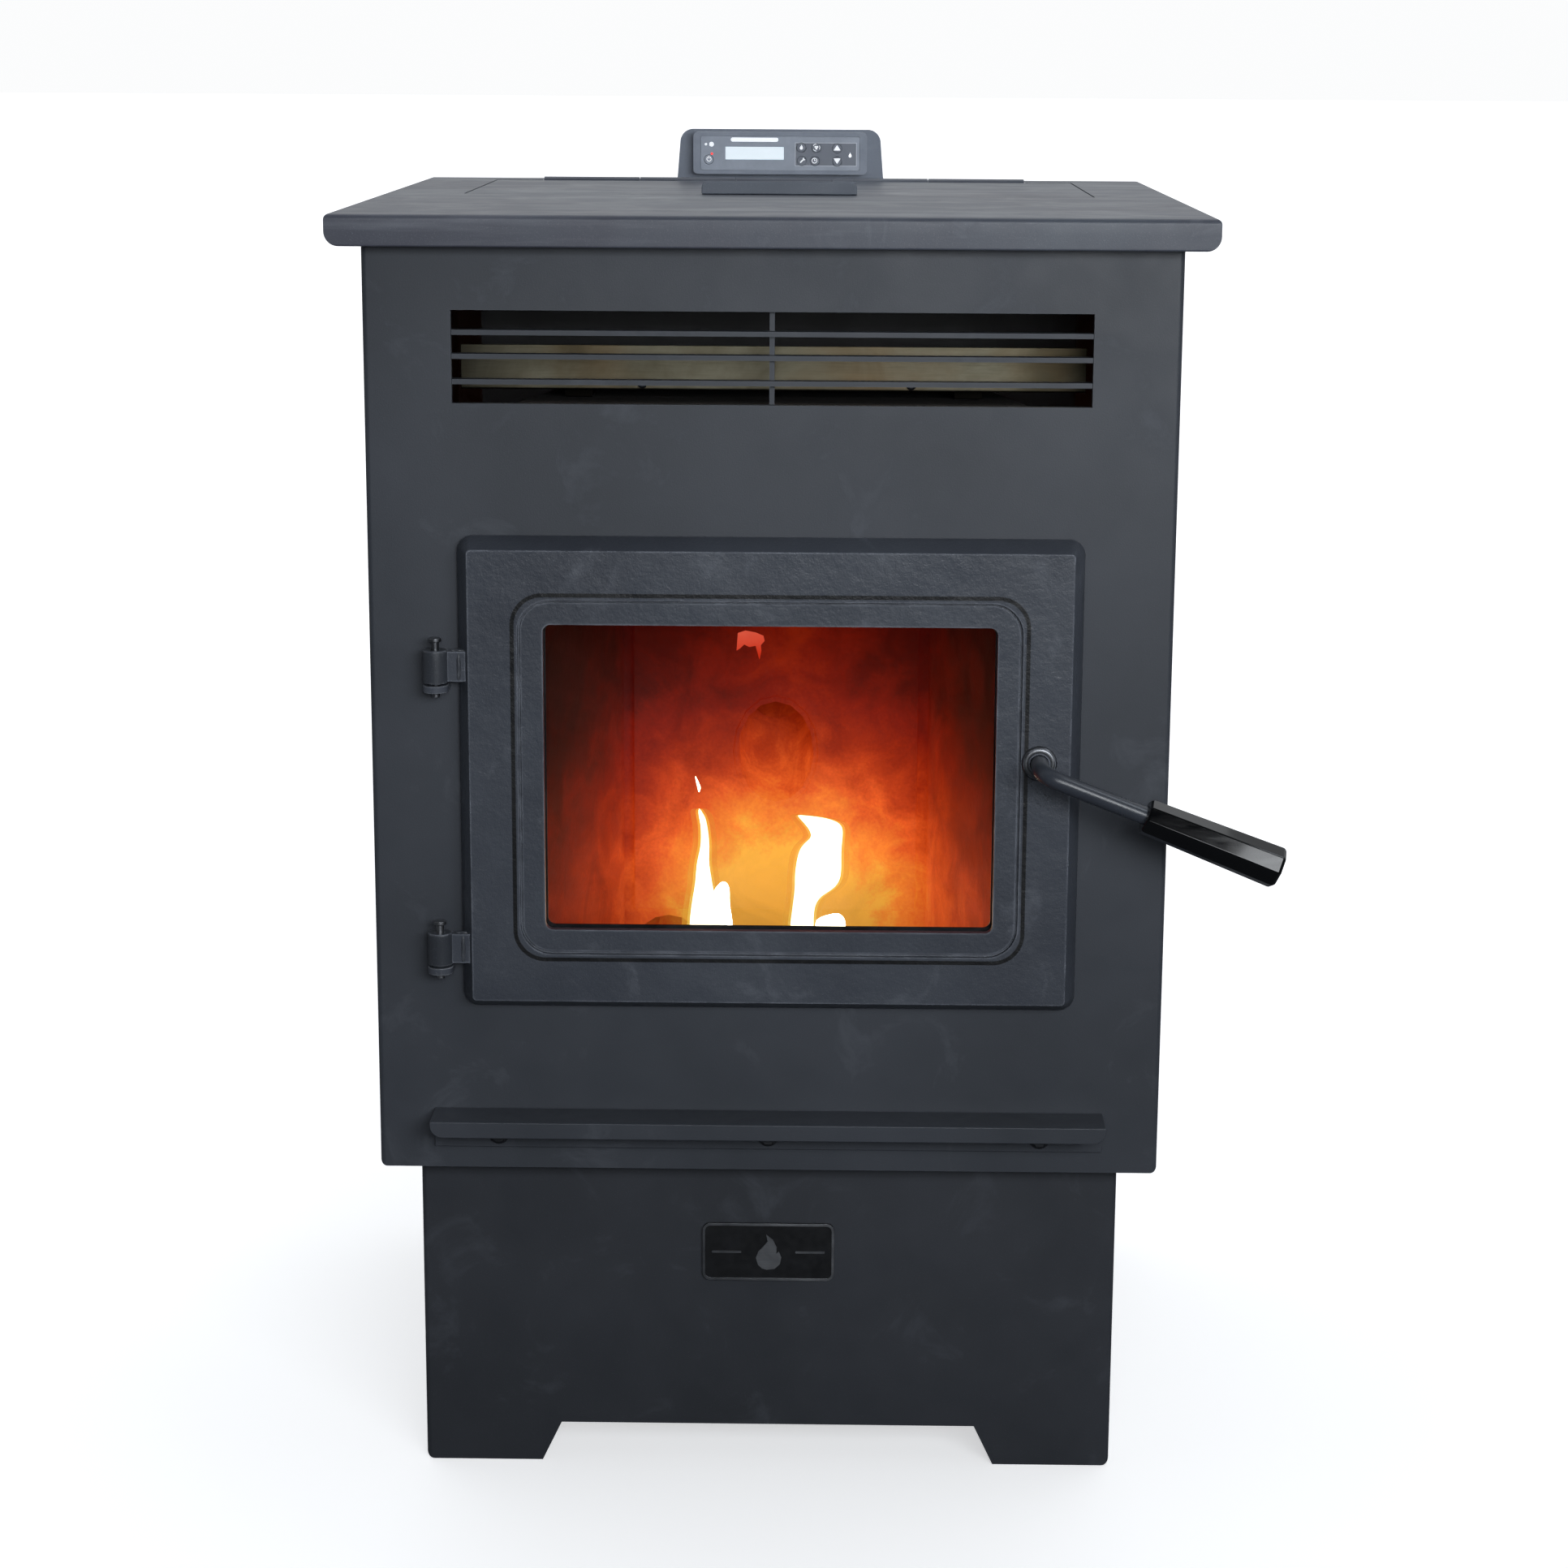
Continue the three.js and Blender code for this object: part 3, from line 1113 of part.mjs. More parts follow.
function burnPot() {
  const half = POT_WIDTH / 2;
  const front = potY - POT_DEPTH / 2;
  const back = potY + POT_DEPTH / 2;
  const top = potBottom + POT_HEIGHT;
  const holes = [];
  for (let column = 0; column < POT_HOLE_COLUMNS; column++) {
    const x = (column - (POT_HOLE_COLUMNS - 1) / 2) * POT_HOLE_COLUMN_PITCH;
    for (const side of [-1, 1]) {
      const y = potY + side * POT_HOLE_ROW_PITCH / 2;
      holes.push(rodZ(x, y, potBottom - 1, potBottom + POT_WALL + 1, POT_HOLE_RADIUS, 8));
    }
  }
  return cut(
    box(-half, half, front, back, potBottom, top),
    box(-half + POT_WALL, half - POT_WALL, front + POT_WALL, back - POT_WALL, potBottom + POT_WALL, top + 1),
    rodY(IGNITER_X, back - POT_WALL - 1, back + 1, potBottom + IGNITER_RISE, IGNITER_RADIUS + GAP, 12),
    ...holes,
  );
}

const igniter = () => {
  const front = potY + POT_DEPTH / 2 - POT_WALL;
  return rodY(IGNITER_X, front, front + IGNITER_LENGTH, potBottom + IGNITER_RISE, IGNITER_RADIUS, 12);
};

// Half the firebox's inner width at a depth behind its taper's start.
function fireboxInnerHalf(y) {
  const start = fireboxFront + FIREBOX_TAPER_START;
  const share = (y - start) / (fireboxBack - PLATE - start);
  return fireboxHalf - PLATE + share * (FIREBOX_BACK_WIDTH / 2 - fireboxHalf);
}

function ashPan() {
  const front = fireboxFront + PLATE + PAN_SETBACK;
  const back = front + PAN_DEPTH;
  const half = fireboxInnerHalf(back) - PAN_SIDE_GAP;
  const bottom = fireboxFloor + GAP;
  const tray = cut(
    box(-half, half, front, back, bottom, bottom + PAN_HEIGHT),
    box(-half + THIN_SHEET, half - THIN_SHEET, front + THIN_SHEET, back - THIN_SHEET,
      bottom + THIN_SHEET, bottom + PAN_HEIGHT + 1),
  );
  const tab = box(-PAN_TAB_WIDTH / 2, PAN_TAB_WIDTH / 2, front - PAN_TAB_REACH, front + 1,
    bottom + PAN_HEIGHT - THIN_SHEET, bottom + PAN_HEIGHT);
  return tray.add(tab);
}

// ---- Fuel feed ----

function augerTube() {
  const top = augerTop.clone().addScaledVector(augerAxis, AUGER_CAP);
  const upward = point(0, Math.cos(AUGER_TILT), Math.sin(AUGER_TILT));
  const inlet = new THREE.BoxGeometry(
    THROAT_WIDTH - 2 * AUGER_INLET_MARGIN, AUGER_TUBE_RADIUS, AUGER_INLET_LENGTH,
  );
  inlet.rotateX(AUGER_TILT);
  inlet.translate(...augerTop.clone()
    .addScaledVector(augerAxis, -AUGER_INLET_RISE)
    .addScaledVector(upward, AUGER_TUBE_RADIUS).toArray());
  const floor = augerBottom.clone().addScaledVector(augerAxis, AUGER_TUBE_WALL);
  const ceiling = top.clone().addScaledVector(augerAxis, -AUGER_TUBE_WALL);
  const forward = box(-topHalf, topHalf, 0, chuteMouthY, 0, topZ);
  return cut(
    join(
      rod(augerBottom, top, AUGER_TUBE_RADIUS, 24),
      chuteRod(CHUTE_RADIUS + CHUTE_WALL),
    ),
    forward,
    rod(floor, ceiling, AUGER_TUBE_RADIUS - AUGER_TUBE_WALL, 24),
    chuteRod(CHUTE_RADIUS),
    solidOf(inlet),
    rod(augerBottom.clone().addScaledVector(augerAxis, -1), floor.clone().addScaledVector(augerAxis, 1),
      AUGER_SHAFT_RADIUS + PIN_GAP),
  );
}

// Built along +Z from the tube's lower end: a shaft with one helical flight.
function augerScrew() {
  const start = AUGER_TUBE_WALL + GAP;
  const length = AUGER_LENGTH - start - GAP;
  const turns = length / AUGER_PITCH;
  const halfAngle = Math.PI / 14;
  const section = new THREE.Shape();
  section.moveTo(AUGER_SHAFT_RADIUS / 2, -AUGER_SHAFT_RADIUS / 4);
  section.absarc(0, 0, AUGER_RADIUS, -halfAngle, halfAngle);
  section.lineTo(AUGER_SHAFT_RADIUS / 2, AUGER_SHAFT_RADIUS / 4);
  const flight = new THREE.ExtrudeGeometry(section, {
    depth: length, steps: Math.ceil(12 * turns), bevelEnabled: false, curveSegments: 1,
  });
  const places = flight.attributes.position;
  const at = new THREE.Vector3();
  for (let i = 0; i < places.count; i++) {
    at.fromBufferAttribute(places, i).applyAxisAngle(point(0, 0, 1), 2 * Math.PI * at.z / AUGER_PITCH);
    places.setXYZ(i, at.x, at.y, at.z + start);
  }
  const shaft = rodZ(0, 0, -MOTOR_BORE_DEPTH, AUGER_LENGTH, AUGER_SHAFT_RADIUS, 14);
  return shaft.add(solidOf(flight));
}

// Built along -Z from the tube's lower end.
function augerMotor() {
  const half = GEARBOX_SIZE / 2;
  const motorTop = -GEARBOX_LENGTH + 1;
  return cut(
    join(
      box(-half, half, -half, half, -GEARBOX_LENGTH, -GAP),
      rodZ(0, 0, motorTop - AUGER_MOTOR_LENGTH, motorTop, AUGER_MOTOR_RADIUS, 20),
    ),
    rodZ(0, 0, -MOTOR_BORE_DEPTH - SWING_GAP, 0, AUGER_SHAFT_RADIUS + PIN_GAP, 14),
  );
}

// ---- Blowers and pipes ----

function exhaustHousing() {
  const half = DISCHARGE_HEIGHT / 2;
  const flueSide = FLUE_X - FLUE_RADIUS - THIN_SHEET;
  const shape = (inset) => join(
    rodY(EXHAUST_X, exhaustFront + inset, exhaustBack - inset, exhaustZ, EXHAUST_RADIUS - inset, 28),
    box(flueSide + inset, EXHAUST_X, exhaustFront + inset, exhaustBack - inset,
      exhaustZ - half + inset, exhaustZ + half - inset),
  );
  return cut(
    join(
      shape(0),
      rodY(EXHAUST_X, fireboxBack + GAP, exhaustFront + 1, exhaustZ, EXHAUST_INLET_RADIUS + THIN_SHEET, 20),
    ),
    shape(THIN_SHEET),
    rodY(EXHAUST_X, fireboxBack, exhaustFront + THIN_SHEET + 1, exhaustZ, EXHAUST_INLET_RADIUS, 20),
    rodY(EXHAUST_X, exhaustBack - 3, exhaustBack + 1, exhaustZ, MOTOR_SHAFT_RADIUS + SWING_GAP),
    rodY(FLUE_X, exhaustBack - 3, exhaustBack + 1, exhaustZ, FLUE_RADIUS - THIN_SHEET, 24),
  );
}

// Built about its own axis along +Y, from the front of its blades.
function exhaustImpeller() {
  const back = EXHAUST_BLADE_DEPTH;
  const blades = [];
  for (let i = 0; i < EXHAUST_BLADES; i++) {
    const blade = new THREE.BoxGeometry(EXHAUST_WHEEL_RADIUS - EXHAUST_BLADE_START, back, THIN_SHEET);
    blade.translate((EXHAUST_WHEEL_RADIUS + EXHAUST_BLADE_START) / 2, back / 2, 0);
    blade.rotateY(2 * Math.PI * i / EXHAUST_BLADES);
    blades.push(solidOf(blade));
  }
  return join(
    rodY(0, back - 1, back + THIN_SHEET, 0, EXHAUST_WHEEL_RADIUS, 24),
    rodY(0, 0, back + EXHAUST_HUB_REACH, 0, EXHAUST_HUB_RADIUS),
    rodY(0, back, exhaustBack + MOTOR_BORE_DEPTH - exhaustWheelFront, 0, MOTOR_SHAFT_RADIUS, 12),
    ...blades,
  );
}

const exhaustWheelFront = exhaustFront + EXHAUST_DEPTH / 2 - EXHAUST_BLADE_DEPTH / 2;

function exhaustMotor() {
  const front = exhaustBack + GAP;
  return cut(
    rodY(EXHAUST_X, front, front + EXHAUST_MOTOR_LENGTH, exhaustZ, EXHAUST_MOTOR_RADIUS, 24),
    rodY(EXHAUST_X, front - 1, front + MOTOR_BORE_DEPTH + SWING_GAP, exhaustZ,
      MOTOR_SHAFT_RADIUS + PIN_GAP, 12),
  );
}

function convectionHousing() {
  const shape = (inset) => {
    const left = convectionLeft + inset;
    const right = convectionRight - inset;
    const snoutTop = convectionZ + CONVECTION_RADIUS;
    return join(
      rodX(left, right, convectionY, convectionZ, CONVECTION_RADIUS - inset, 28),
      box(left, right, convectionY - CONVECTION_SNOUT - (inset ? 1 : 0), convectionY,
        snoutTop - CONVECTION_SNOUT_HEIGHT + inset, snoutTop - inset),
    );
  };
  return cut(
    shape(0),
    shape(THIN_SHEET),
    rodX(convectionLeft - 1, convectionLeft + 3, convectionY, convectionZ, CONVECTION_INLET_RADIUS, 24),
    rodX(convectionRight - 3, convectionRight + 1, convectionY, convectionZ, MOTOR_SHAFT_RADIUS + SWING_GAP),
  );
}

// A drum of blades about its own axis along +X, centred on its width.
function convectionImpeller() {
  const half = CONVECTION_WHEEL_WIDTH / 2;
  const middle = CONVECTION_WHEEL_RADIUS - CONVECTION_BLADE / 2;
  const blades = [];
  for (let i = 0; i < CONVECTION_BLADES; i++) {
    const blade = new THREE.BoxGeometry(CONVECTION_WHEEL_WIDTH - 1, CONVECTION_BLADE - 1, THIN_SHEET);
    blade.translate(0, middle, 0);
    blade.rotateX(2 * Math.PI * i / CONVECTION_BLADES);
    blades.push(solidOf(blade));
  }
  const rim = cut(
    rodX(-half, -half + THIN_SHEET, 0, 0, CONVECTION_WHEEL_RADIUS, 24),
    rodX(-half - 1, -half + 3, 0, 0, CONVECTION_WHEEL_RADIUS - CONVECTION_BLADE, 24),
  );
  return join(
    rim,
    rodX(half - THIN_SHEET, half, 0, 0, CONVECTION_WHEEL_RADIUS, 24),
    rodX(half + HUB_PROUD - CONVECTION_HUB_LENGTH, half + HUB_PROUD, 0, 0, CONVECTION_HUB_RADIUS),
    rodX(half, CONVECTION_WIDTH / 2 + MOTOR_BORE_DEPTH, 0, 0, MOTOR_SHAFT_RADIUS, 12),
    ...blades,
  );
}

function convectionMotor() {
  const left = convectionRight + GAP;
  return cut(
    rodX(left, left + CONVECTION_MOTOR_LENGTH, convectionY, convectionZ, CONVECTION_MOTOR_RADIUS, 24),
    rodX(left - 1, left + MOTOR_BORE_DEPTH + SWING_GAP, convectionY, convectionZ,
      MOTOR_SHAFT_RADIUS + PIN_GAP, 12),
  );
}

// A pipe through the back panel, with a flange against the panel's outside.
function pipe(x, z, y0, stub, radius, flangeRadius) {
  const end = cabinetBack + stub;
  return cut(
    join(
      rodY(x, y0, end, z, radius, 24),
      rodY(x, cabinetBack + GAP, cabinetBack + GAP + SHEET, z, flangeRadius, 24),
    ),
    rodY(x, y0 - 1, end + 1, z, radius - THIN_SHEET, 24),
  );
}

const flueOutlet = () =>
  pipe(FLUE_X, exhaustZ, exhaustBack + GAP, FLUE_STUB, FLUE_RADIUS, FLUE_FLANGE_RADIUS);

const airIntake = () =>
  pipe(INTAKE_X, intakeZ, fireboxBack + GAP, INTAKE_STUB, INTAKE_RADIUS, INTAKE_FLANGE_RADIUS);

// ---- Electrics ----

function inletBlock(margin, y0, y1) {
  const z = cabinetBottom + INLET_RISE;
  return box(INLET_X - INLET_WIDTH / 2 - margin, INLET_X + INLET_WIDTH / 2 + margin, y0, y1,
    z - INLET_HEIGHT / 2 - margin, z + INLET_HEIGHT / 2 + margin);
}

function powerInlet() {
  const z = cabinetBottom + INLET_RISE;
  const face = cabinetBack + GAP + THIN_SHEET;
  const floor = face - INLET_DEPTH + SHEET;
  const rim = plateXZ(
    roundedRect(INLET_X - INLET_WIDTH / 2 - INLET_RIM, INLET_X + INLET_WIDTH / 2 + INLET_RIM,
      z - INLET_HEIGHT / 2 - INLET_RIM_HEIGHT, z + INLET_HEIGHT / 2 + INLET_RIM_HEIGHT, SHEET),
    cabinetBack + GAP, face,
  );
  const pins = INLET_PINS.map(([x, up]) => box(
    INLET_X + x - INLET_PIN / 2, INLET_X + x + INLET_PIN / 2, floor - 1, face - SHEET,
    z + up - INLET_PIN, z + up + INLET_PIN,
  ));
  const shell = cut(
    join(rim, inletBlock(0, face - INLET_DEPTH, face)),
    inletBlock(-INLET_WALL, floor, face + 1),
  );
  return join(shell, ...pins);
}

function controlBoard() {
  const right = innerHalf - BOARD_MARGIN;
  const front = cabinetFront + BOARD_SETBACK;
  const bottom = cabinetBottom + BOARD_RISE;
  const board = box(right - THIN_SHEET, right, front, front + BOARD_DEPTH, bottom, bottom + BOARD_HEIGHT);
  const components = BOARD_COMPONENTS.map(([along, up, thickness, length, height]) => box(
    right - THIN_SHEET - thickness, right - 1, front + along, front + along + length,
    bottom + up, bottom + up + height,
  ));
  return join(board, ...components);
}

// ---- Assembly ----

const stove = new THREE.Group();

function add(name, made, material, parent = stove) {
  const geometry = made.isBufferGeometry ? made : geometryOf(made);
  const mesh = new THREE.Mesh(geometry, material());
  mesh.name = name;
  parent.add(mesh);
  return mesh;
}

add('top_plate', topPlate(), topPaint);
add('front_panel', frontPanel(), bodyPaint);
add('left_side_panel', sidePanel(-1), bodyPaint);
add('right_side_panel', sidePanel(1), bodyPaint);
add('back_panel', backPanel(), bodyPaint);
add('base_plate', basePlate(), bodyPaint);
add('pedestal_front', pedestalFrontPanel(), pedestalPaint);
add('pedestal_shell', pedestalShell(), pedestalPaint);
add('louvre_grille', louvreGrille(), bodyPaint);
add('heat_shield', heatShield(), aluminised);
add('ash_shelf', ashShelf(), bodyPaint);
add('badge_plate', badgePlate(), darkSteel);

add('hopper', hopper(), bareSteel);
add('hopper_lid', hopperLid(), topPaint);
add('lid_handle', lidHandle(), blackPlastic);
add('lid_seal', lidSeal(), fibre);
add('lid_hinge_pin', lidHingePin(), bareSteel);

add('control_bracket', controlBracket(), topPaint);
add('controller_housing', controllerHousing(), greyPlastic);
add('controller_overlay', controllerOverlay(), greyPlastic);
add('lcd_display', lcdDisplay(), paleScreen);
for (const [name, place] of Object.entries(BUTTONS)) {
  add(name, button(place), greyPlastic);
}

add('door_frame', doorFrame(), doorPaint);
add('door_glass', doorGlass(), windowGlass);
add('glass_retainer', glassRetainer(), darkSteel);
add('door_gasket', doorGasket(), fibre);
add('upper_hinge_bracket', hingeBracket(hingeBottoms[0]), doorPaint);
add('lower_hinge_bracket', hingeBracket(hingeBottoms[1]), doorPaint);
add('upper_hinge_pin', hingePin(hingeBottoms[0]), bareSteel);
add('lower_hinge_pin', hingePin(hingeBottoms[1]), bareSteel);
add('latch_keeper', latchKeeper(), darkSteel);

const handle = new THREE.Group();
handle.position.set(handleX, leverY, handleZ);
stove.add(handle);
add('handle_rod', handleRod(), darkSteel, handle);
const grip = add('handle_grip', handleGrip(), blackPlastic, handle);
grip.position.copy(leverDirection).multiplyScalar(LEVER_LENGTH);
grip.quaternion.setFromUnitVectors(UP, leverDirection);
grip.rotateY(Math.PI / GRIP_SIDES);
add('latch_cam', latchCam(), darkSteel, handle).position.set(0, camFront - leverY, 0);

add('firebox', firebox(), castIron);
add('firebox_liner', fireboxLiner(), castIron);
add('burn_pot_stand', burnPotStand(), castIron);
add('burn_pot', burnPot(), castIron);
add('igniter', igniter(), bareSteel);
add('ash_pan', ashPan(), darkSteel);
add('heat_exchanger', heatExchanger(), aluminised);

add('auger_tube', augerTube(), darkSteel);
const feed = new THREE.Group();
feed.position.copy(augerBottom);
feed.rotation.x = AUGER_TILT;
stove.add(feed);
add('auger_screw', augerScrew(), bareSteel, feed);
add('auger_motor', augerMotor(), darkSteel, feed);

add('exhaust_blower_housing', exhaustHousing(), darkSteel);
add('exhaust_impeller', exhaustImpeller(), bareSteel).position.set(EXHAUST_X, exhaustWheelFront, exhaustZ);
add('exhaust_motor', exhaustMotor(), darkSteel);
add('convection_blower_housing', convectionHousing(), aluminised);
add('convection_impeller', convectionImpeller(), bareSteel)
  .position.set(CONVECTION_X, convectionY, convectionZ);
add('convection_motor', convectionMotor(), darkSteel);
add('flue_outlet', flueOutlet(), aluminised);
add('air_intake', airIntake(), aluminised);
add('power_inlet', powerInlet(), blackPlastic);
add('control_board', controlBoard(), boardGreen);

// The origin is at the middle of the whole object's footprint, on the floor.
const group = new THREE.Group();
group.add(stove);
const extent = new THREE.Box3().setFromObject(stove, true);
stove.position.set(-(extent.min.x + extent.max.x) / 2, -(extent.min.y + extent.max.y) / 2, -extent.min.z);

export default group;
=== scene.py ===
# The looks of a free-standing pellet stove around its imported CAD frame.
# Everything is in metres, in the frame's own axes: +X right, +Y back, +Z up.

import json
import math
import random

import bmesh
import bpy
from mathutils import Matrix, Vector, noise


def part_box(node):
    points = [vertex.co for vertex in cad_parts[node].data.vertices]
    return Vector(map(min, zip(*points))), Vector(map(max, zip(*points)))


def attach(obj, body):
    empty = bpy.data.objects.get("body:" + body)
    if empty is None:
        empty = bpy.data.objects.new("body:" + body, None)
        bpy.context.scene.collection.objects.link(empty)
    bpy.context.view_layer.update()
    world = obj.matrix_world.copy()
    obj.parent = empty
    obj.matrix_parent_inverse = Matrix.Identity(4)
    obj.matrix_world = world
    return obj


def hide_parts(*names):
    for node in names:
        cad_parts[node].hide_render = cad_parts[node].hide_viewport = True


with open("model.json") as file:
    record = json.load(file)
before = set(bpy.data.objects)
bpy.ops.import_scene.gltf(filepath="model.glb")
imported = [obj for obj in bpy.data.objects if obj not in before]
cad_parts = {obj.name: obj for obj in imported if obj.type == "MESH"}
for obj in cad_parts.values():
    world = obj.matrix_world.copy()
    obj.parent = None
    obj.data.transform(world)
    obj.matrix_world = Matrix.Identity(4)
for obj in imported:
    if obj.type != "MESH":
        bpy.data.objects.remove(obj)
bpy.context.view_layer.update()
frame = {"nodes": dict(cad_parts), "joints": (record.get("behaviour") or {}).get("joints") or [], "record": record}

MM = 0.001
RIGHT, BACK, UP = Vector((1, 0, 0)), Vector((0, 1, 0)), Vector((0, 0, 1))
nodes = frame["nodes"]
joints = {j["name"]: j for j in frame["joints"]}

# The stove's own datum: its middle plane, the top plate's front edge and the floor
top_low, top_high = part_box("top_plate")
MIDDLE_X = (top_low.x + top_high.x) / 2
FRONT_Y = top_low.y
TOP_Z = top_high.z


def at(x, y, z):
    """A point given in millimetres from the stove's datum."""
    return Vector((MIDDLE_X + x * MM, FRONT_Y + y * MM, z * MM))


# ---- Camera ----

LENS = 75.55
SENSOR_WIDTH = 36
EYE = at(39.6, -2258.9, 1046.8)
YAW = math.radians(0.742)
PITCH = math.radians(12.745)
ROLL = math.radians(0.323)


def make_camera():
    ahead = Vector((-math.sin(YAW), math.cos(YAW), 0))
    right = Vector((math.cos(YAW), math.sin(YAW), 0))
    forward = ahead * math.cos(PITCH) - UP * math.sin(PITCH)
    up = UP * math.cos(PITCH) + ahead * math.sin(PITCH)
    across = right * math.cos(ROLL) + up * math.sin(ROLL)
    upright = up * math.cos(ROLL) - right * math.sin(ROLL)
    data = bpy.data.cameras.new("camera")
    data.lens = LENS
    data.sensor_width = SENSOR_WIDTH
    camera = bpy.data.objects.new("camera", data)
    turn = Matrix((across, upright, -forward)).transposed().to_4x4()
    camera.matrix_world = Matrix.Translation(EYE) @ turn
    bpy.context.scene.collection.objects.link(camera)
    bpy.context.scene.camera = camera


make_camera()


# ---- Node materials ----

def srgb(r, g, b):
    """A colour given as 0 to 255, as Blender's linear colour."""
    def channel(v):
        v /= 255
        return v / 12.92 if v <= 0.04045 else ((v + 0.055) / 1.055) ** 2.4
    return (channel(r), channel(g), channel(b), 1)


class Look:
    """A node material on one Principled shader, in object coordinates."""

    def __init__(self, name, **sockets):
        self.material = bpy.data.materials.new(name)
        self.material.use_nodes = True
        self.tree = self.material.node_tree
        self.tree.nodes.clear()
        self.shader = self.tree.nodes.new("ShaderNodeBsdfPrincipled")
        out = self.tree.nodes.new("ShaderNodeOutputMaterial")
        self.tree.links.new(self.shader.outputs[0], out.inputs[0])
        self.place = self.tree.nodes.new("ShaderNodeTexCoord").outputs["Object"]
        for socket, value in sockets.items():
            self.shader.inputs[socket.replace("_", " ")].default_value = value

    def add(self, kind, *linked, **settings):
        node = self.tree.nodes.new("ShaderNode" + kind)
        for key, value in settings.items():
            setattr(node, key, value)
        for socket, value in linked:
            self.feed(node.inputs[socket], value)
        return node

    def feed(self, socket, value):
        if hasattr(value, "is_output"):
            self.tree.links.new(value, socket)
        else:
            socket.default_value = value

    def stretched(self, x, y, z):
        return self.add("Mapping", ("Vector", self.place), ("Scale", (x, y, z))).outputs[0]

    def noise(self, scale, detail=3.0, roughness=0.5, place=None, distortion=0.0):
        node = self.add("TexNoise", ("Vector", place or self.place), ("Scale", scale), ("Detail", detail),
                        ("Roughness", roughness), ("Distortion", distortion))
        return node.outputs["Fac"]

    def ramp(self, fac, *stops):
        node = self.add("ValToRGB", ("Fac", fac))
        ramp = node.color_ramp
        while len(ramp.elements) < len(stops):
            ramp.elements.new(1)
        for element, (where, colour) in zip(ramp.elements, stops):
            element.position = where
            element.color = colour if hasattr(colour, "__len__") else (colour,) * 3 + (1,)
        return node.outputs["Color"]

    def span(self, value, low, high, to_low=0.0, to_high=1.0):
        node = self.add("MapRange", ("Value", value), ("From Min", low), ("From Max", high),
                        ("To Min", to_low), ("To Max", to_high))
        return node.outputs[0]

    def mix(self, fac, a, b):
        node = self.add("Mix", (0, fac), data_type="RGBA")
        self.feed(node.inputs[6], a)
        self.feed(node.inputs[7], b)
        return node.outputs[2]

    def math(self, operation, a, b=0.0, clamp=False):
        node = self.add("Math", (0, a), (1, b), operation=operation, use_clamp=clamp)
        return node.outputs[0]

    def times(self, a, *others, clamp=False):
        for b in others:
            a = self.math("MULTIPLY", a, b, clamp)
        return a

    def axis(self, name):
        return self.add("SeparateXYZ", (0, self.place)).outputs[name]

    def off(self, axis, centre):
        """Distance along an axis from a coordinate on it, either way."""
        return self.math("ABSOLUTE", self.math("SUBTRACT", self.axis(axis), centre))

    def near(self, centre, radius):
        """1 at a point, falling to 0 at the radius."""
        node = self.add("VectorMath", (0, self.place), (1, tuple(centre)), operation="DISTANCE")
        return self.span(node.outputs["Value"], 0, radius, 1, 0)

    def rounded_distance(self, middle, half, radius):
        """Distance from a rounded outline in the XZ plane, negative inside it."""
        past = []
        for axis, centre, reach in (("X", middle[0], half[0]), ("Z", middle[2], half[2])):
            past.append(self.math("SUBTRACT", self.off(axis, centre), reach - radius))
        corner = [self.math("POWER", self.math("MAXIMUM", d, 0.0), 2.0) for d in past]
        outside = self.math("SQRT", self.math("ADD", *corner))
        inside = self.math("MINIMUM", self.math("MAXIMUM", *past), 0.0)
        return self.math("SUBTRACT", self.math("ADD", outside, inside), radius)

    def edges(self, radius, amount):
        """A mask of convex and concave edges, from how far the rounded normal leans away."""
        round_normal = self.add("Bevel", ("Radius", radius), samples=4).outputs[0]
        flat = self.add("NewGeometry").outputs["Normal"]
        lean = self.add("VectorMath", (0, round_normal), (1, flat), operation="DOT_PRODUCT")
        return self.span(lean.outputs["Value"], 1, 1 - amount)

    def bumps(self, *layers):
        """Bump layers of (height, distance in metres)."""
        normal = None
        for height, distance in layers:
            node = self.add("Bump", ("Height", height), ("Distance", distance), ("Strength", 1.0))
            if normal:
                self.tree.links.new(normal, node.inputs["Normal"])
            normal = node.outputs[0]
        self.tree.links.new(normal, self.shader.inputs["Normal"])

    def set(self, **sockets):
        for socket, value in sockets.items():
            self.feed(self.shader.inputs[socket.replace("_", " ")], value)
        return self

    def tint(self, share, colour):
        """Lays a colour over the base colour, where the share is 1."""
        under = self.shader.inputs["Base Color"].links[0].from_socket
        return self.set(Base_Color=self.mix(share, under, colour))


def painted(name, colour, dark, light, grain=0.00006, pebble=0.0, rough=(0.42, 0.6), wear=0.35,
            streaks=None, rub_radius=0.0012):
    """Powder coat or stove paint: mottled, finely grained, paler where edges are rubbed."""
    look = Look(name)
    broad = look.noise(5, 4, 0.6)
    smudge = look.noise(17, 5, 0.65, distortion=0.6)
    tone = look.mix(look.span(broad, 0.35, 0.7), dark, colour)
    tone = look.mix(look.span(smudge, 0.58, 0.8, 0, 0.45), tone, light)
    if streaks:
        rubbed = look.noise(1, 5, 0.65, place=look.stretched(*streaks))
        tone = look.mix(look.span(rubbed, 0.5, 0.74, 0, 0.55), tone, light)
    speck = look.noise(1400, 2, 0.5)
    tone = look.mix(look.span(speck, 0.62, 0.8, 0, 0.35), tone, light)
    if wear:
        patchy = look.span(look.noise(60, 4), 0.35, 0.65, 0.25, 1)
        tone = look.mix(look.times(look.edges(rub_radius, 0.1), patchy, wear), tone, light)
    layers = [(look.noise(900, 2, 0.6), grain)]
    if pebble:
        layers.append((look.noise(260, 3, 0.55), pebble))
        layers.append((look.noise(45, 3, 0.5), 2.5 * pebble))
    look.bumps(*layers)
    return look.set(Base_Color=tone, Roughness=look.span(smudge, 0.3, 0.75, *rough))


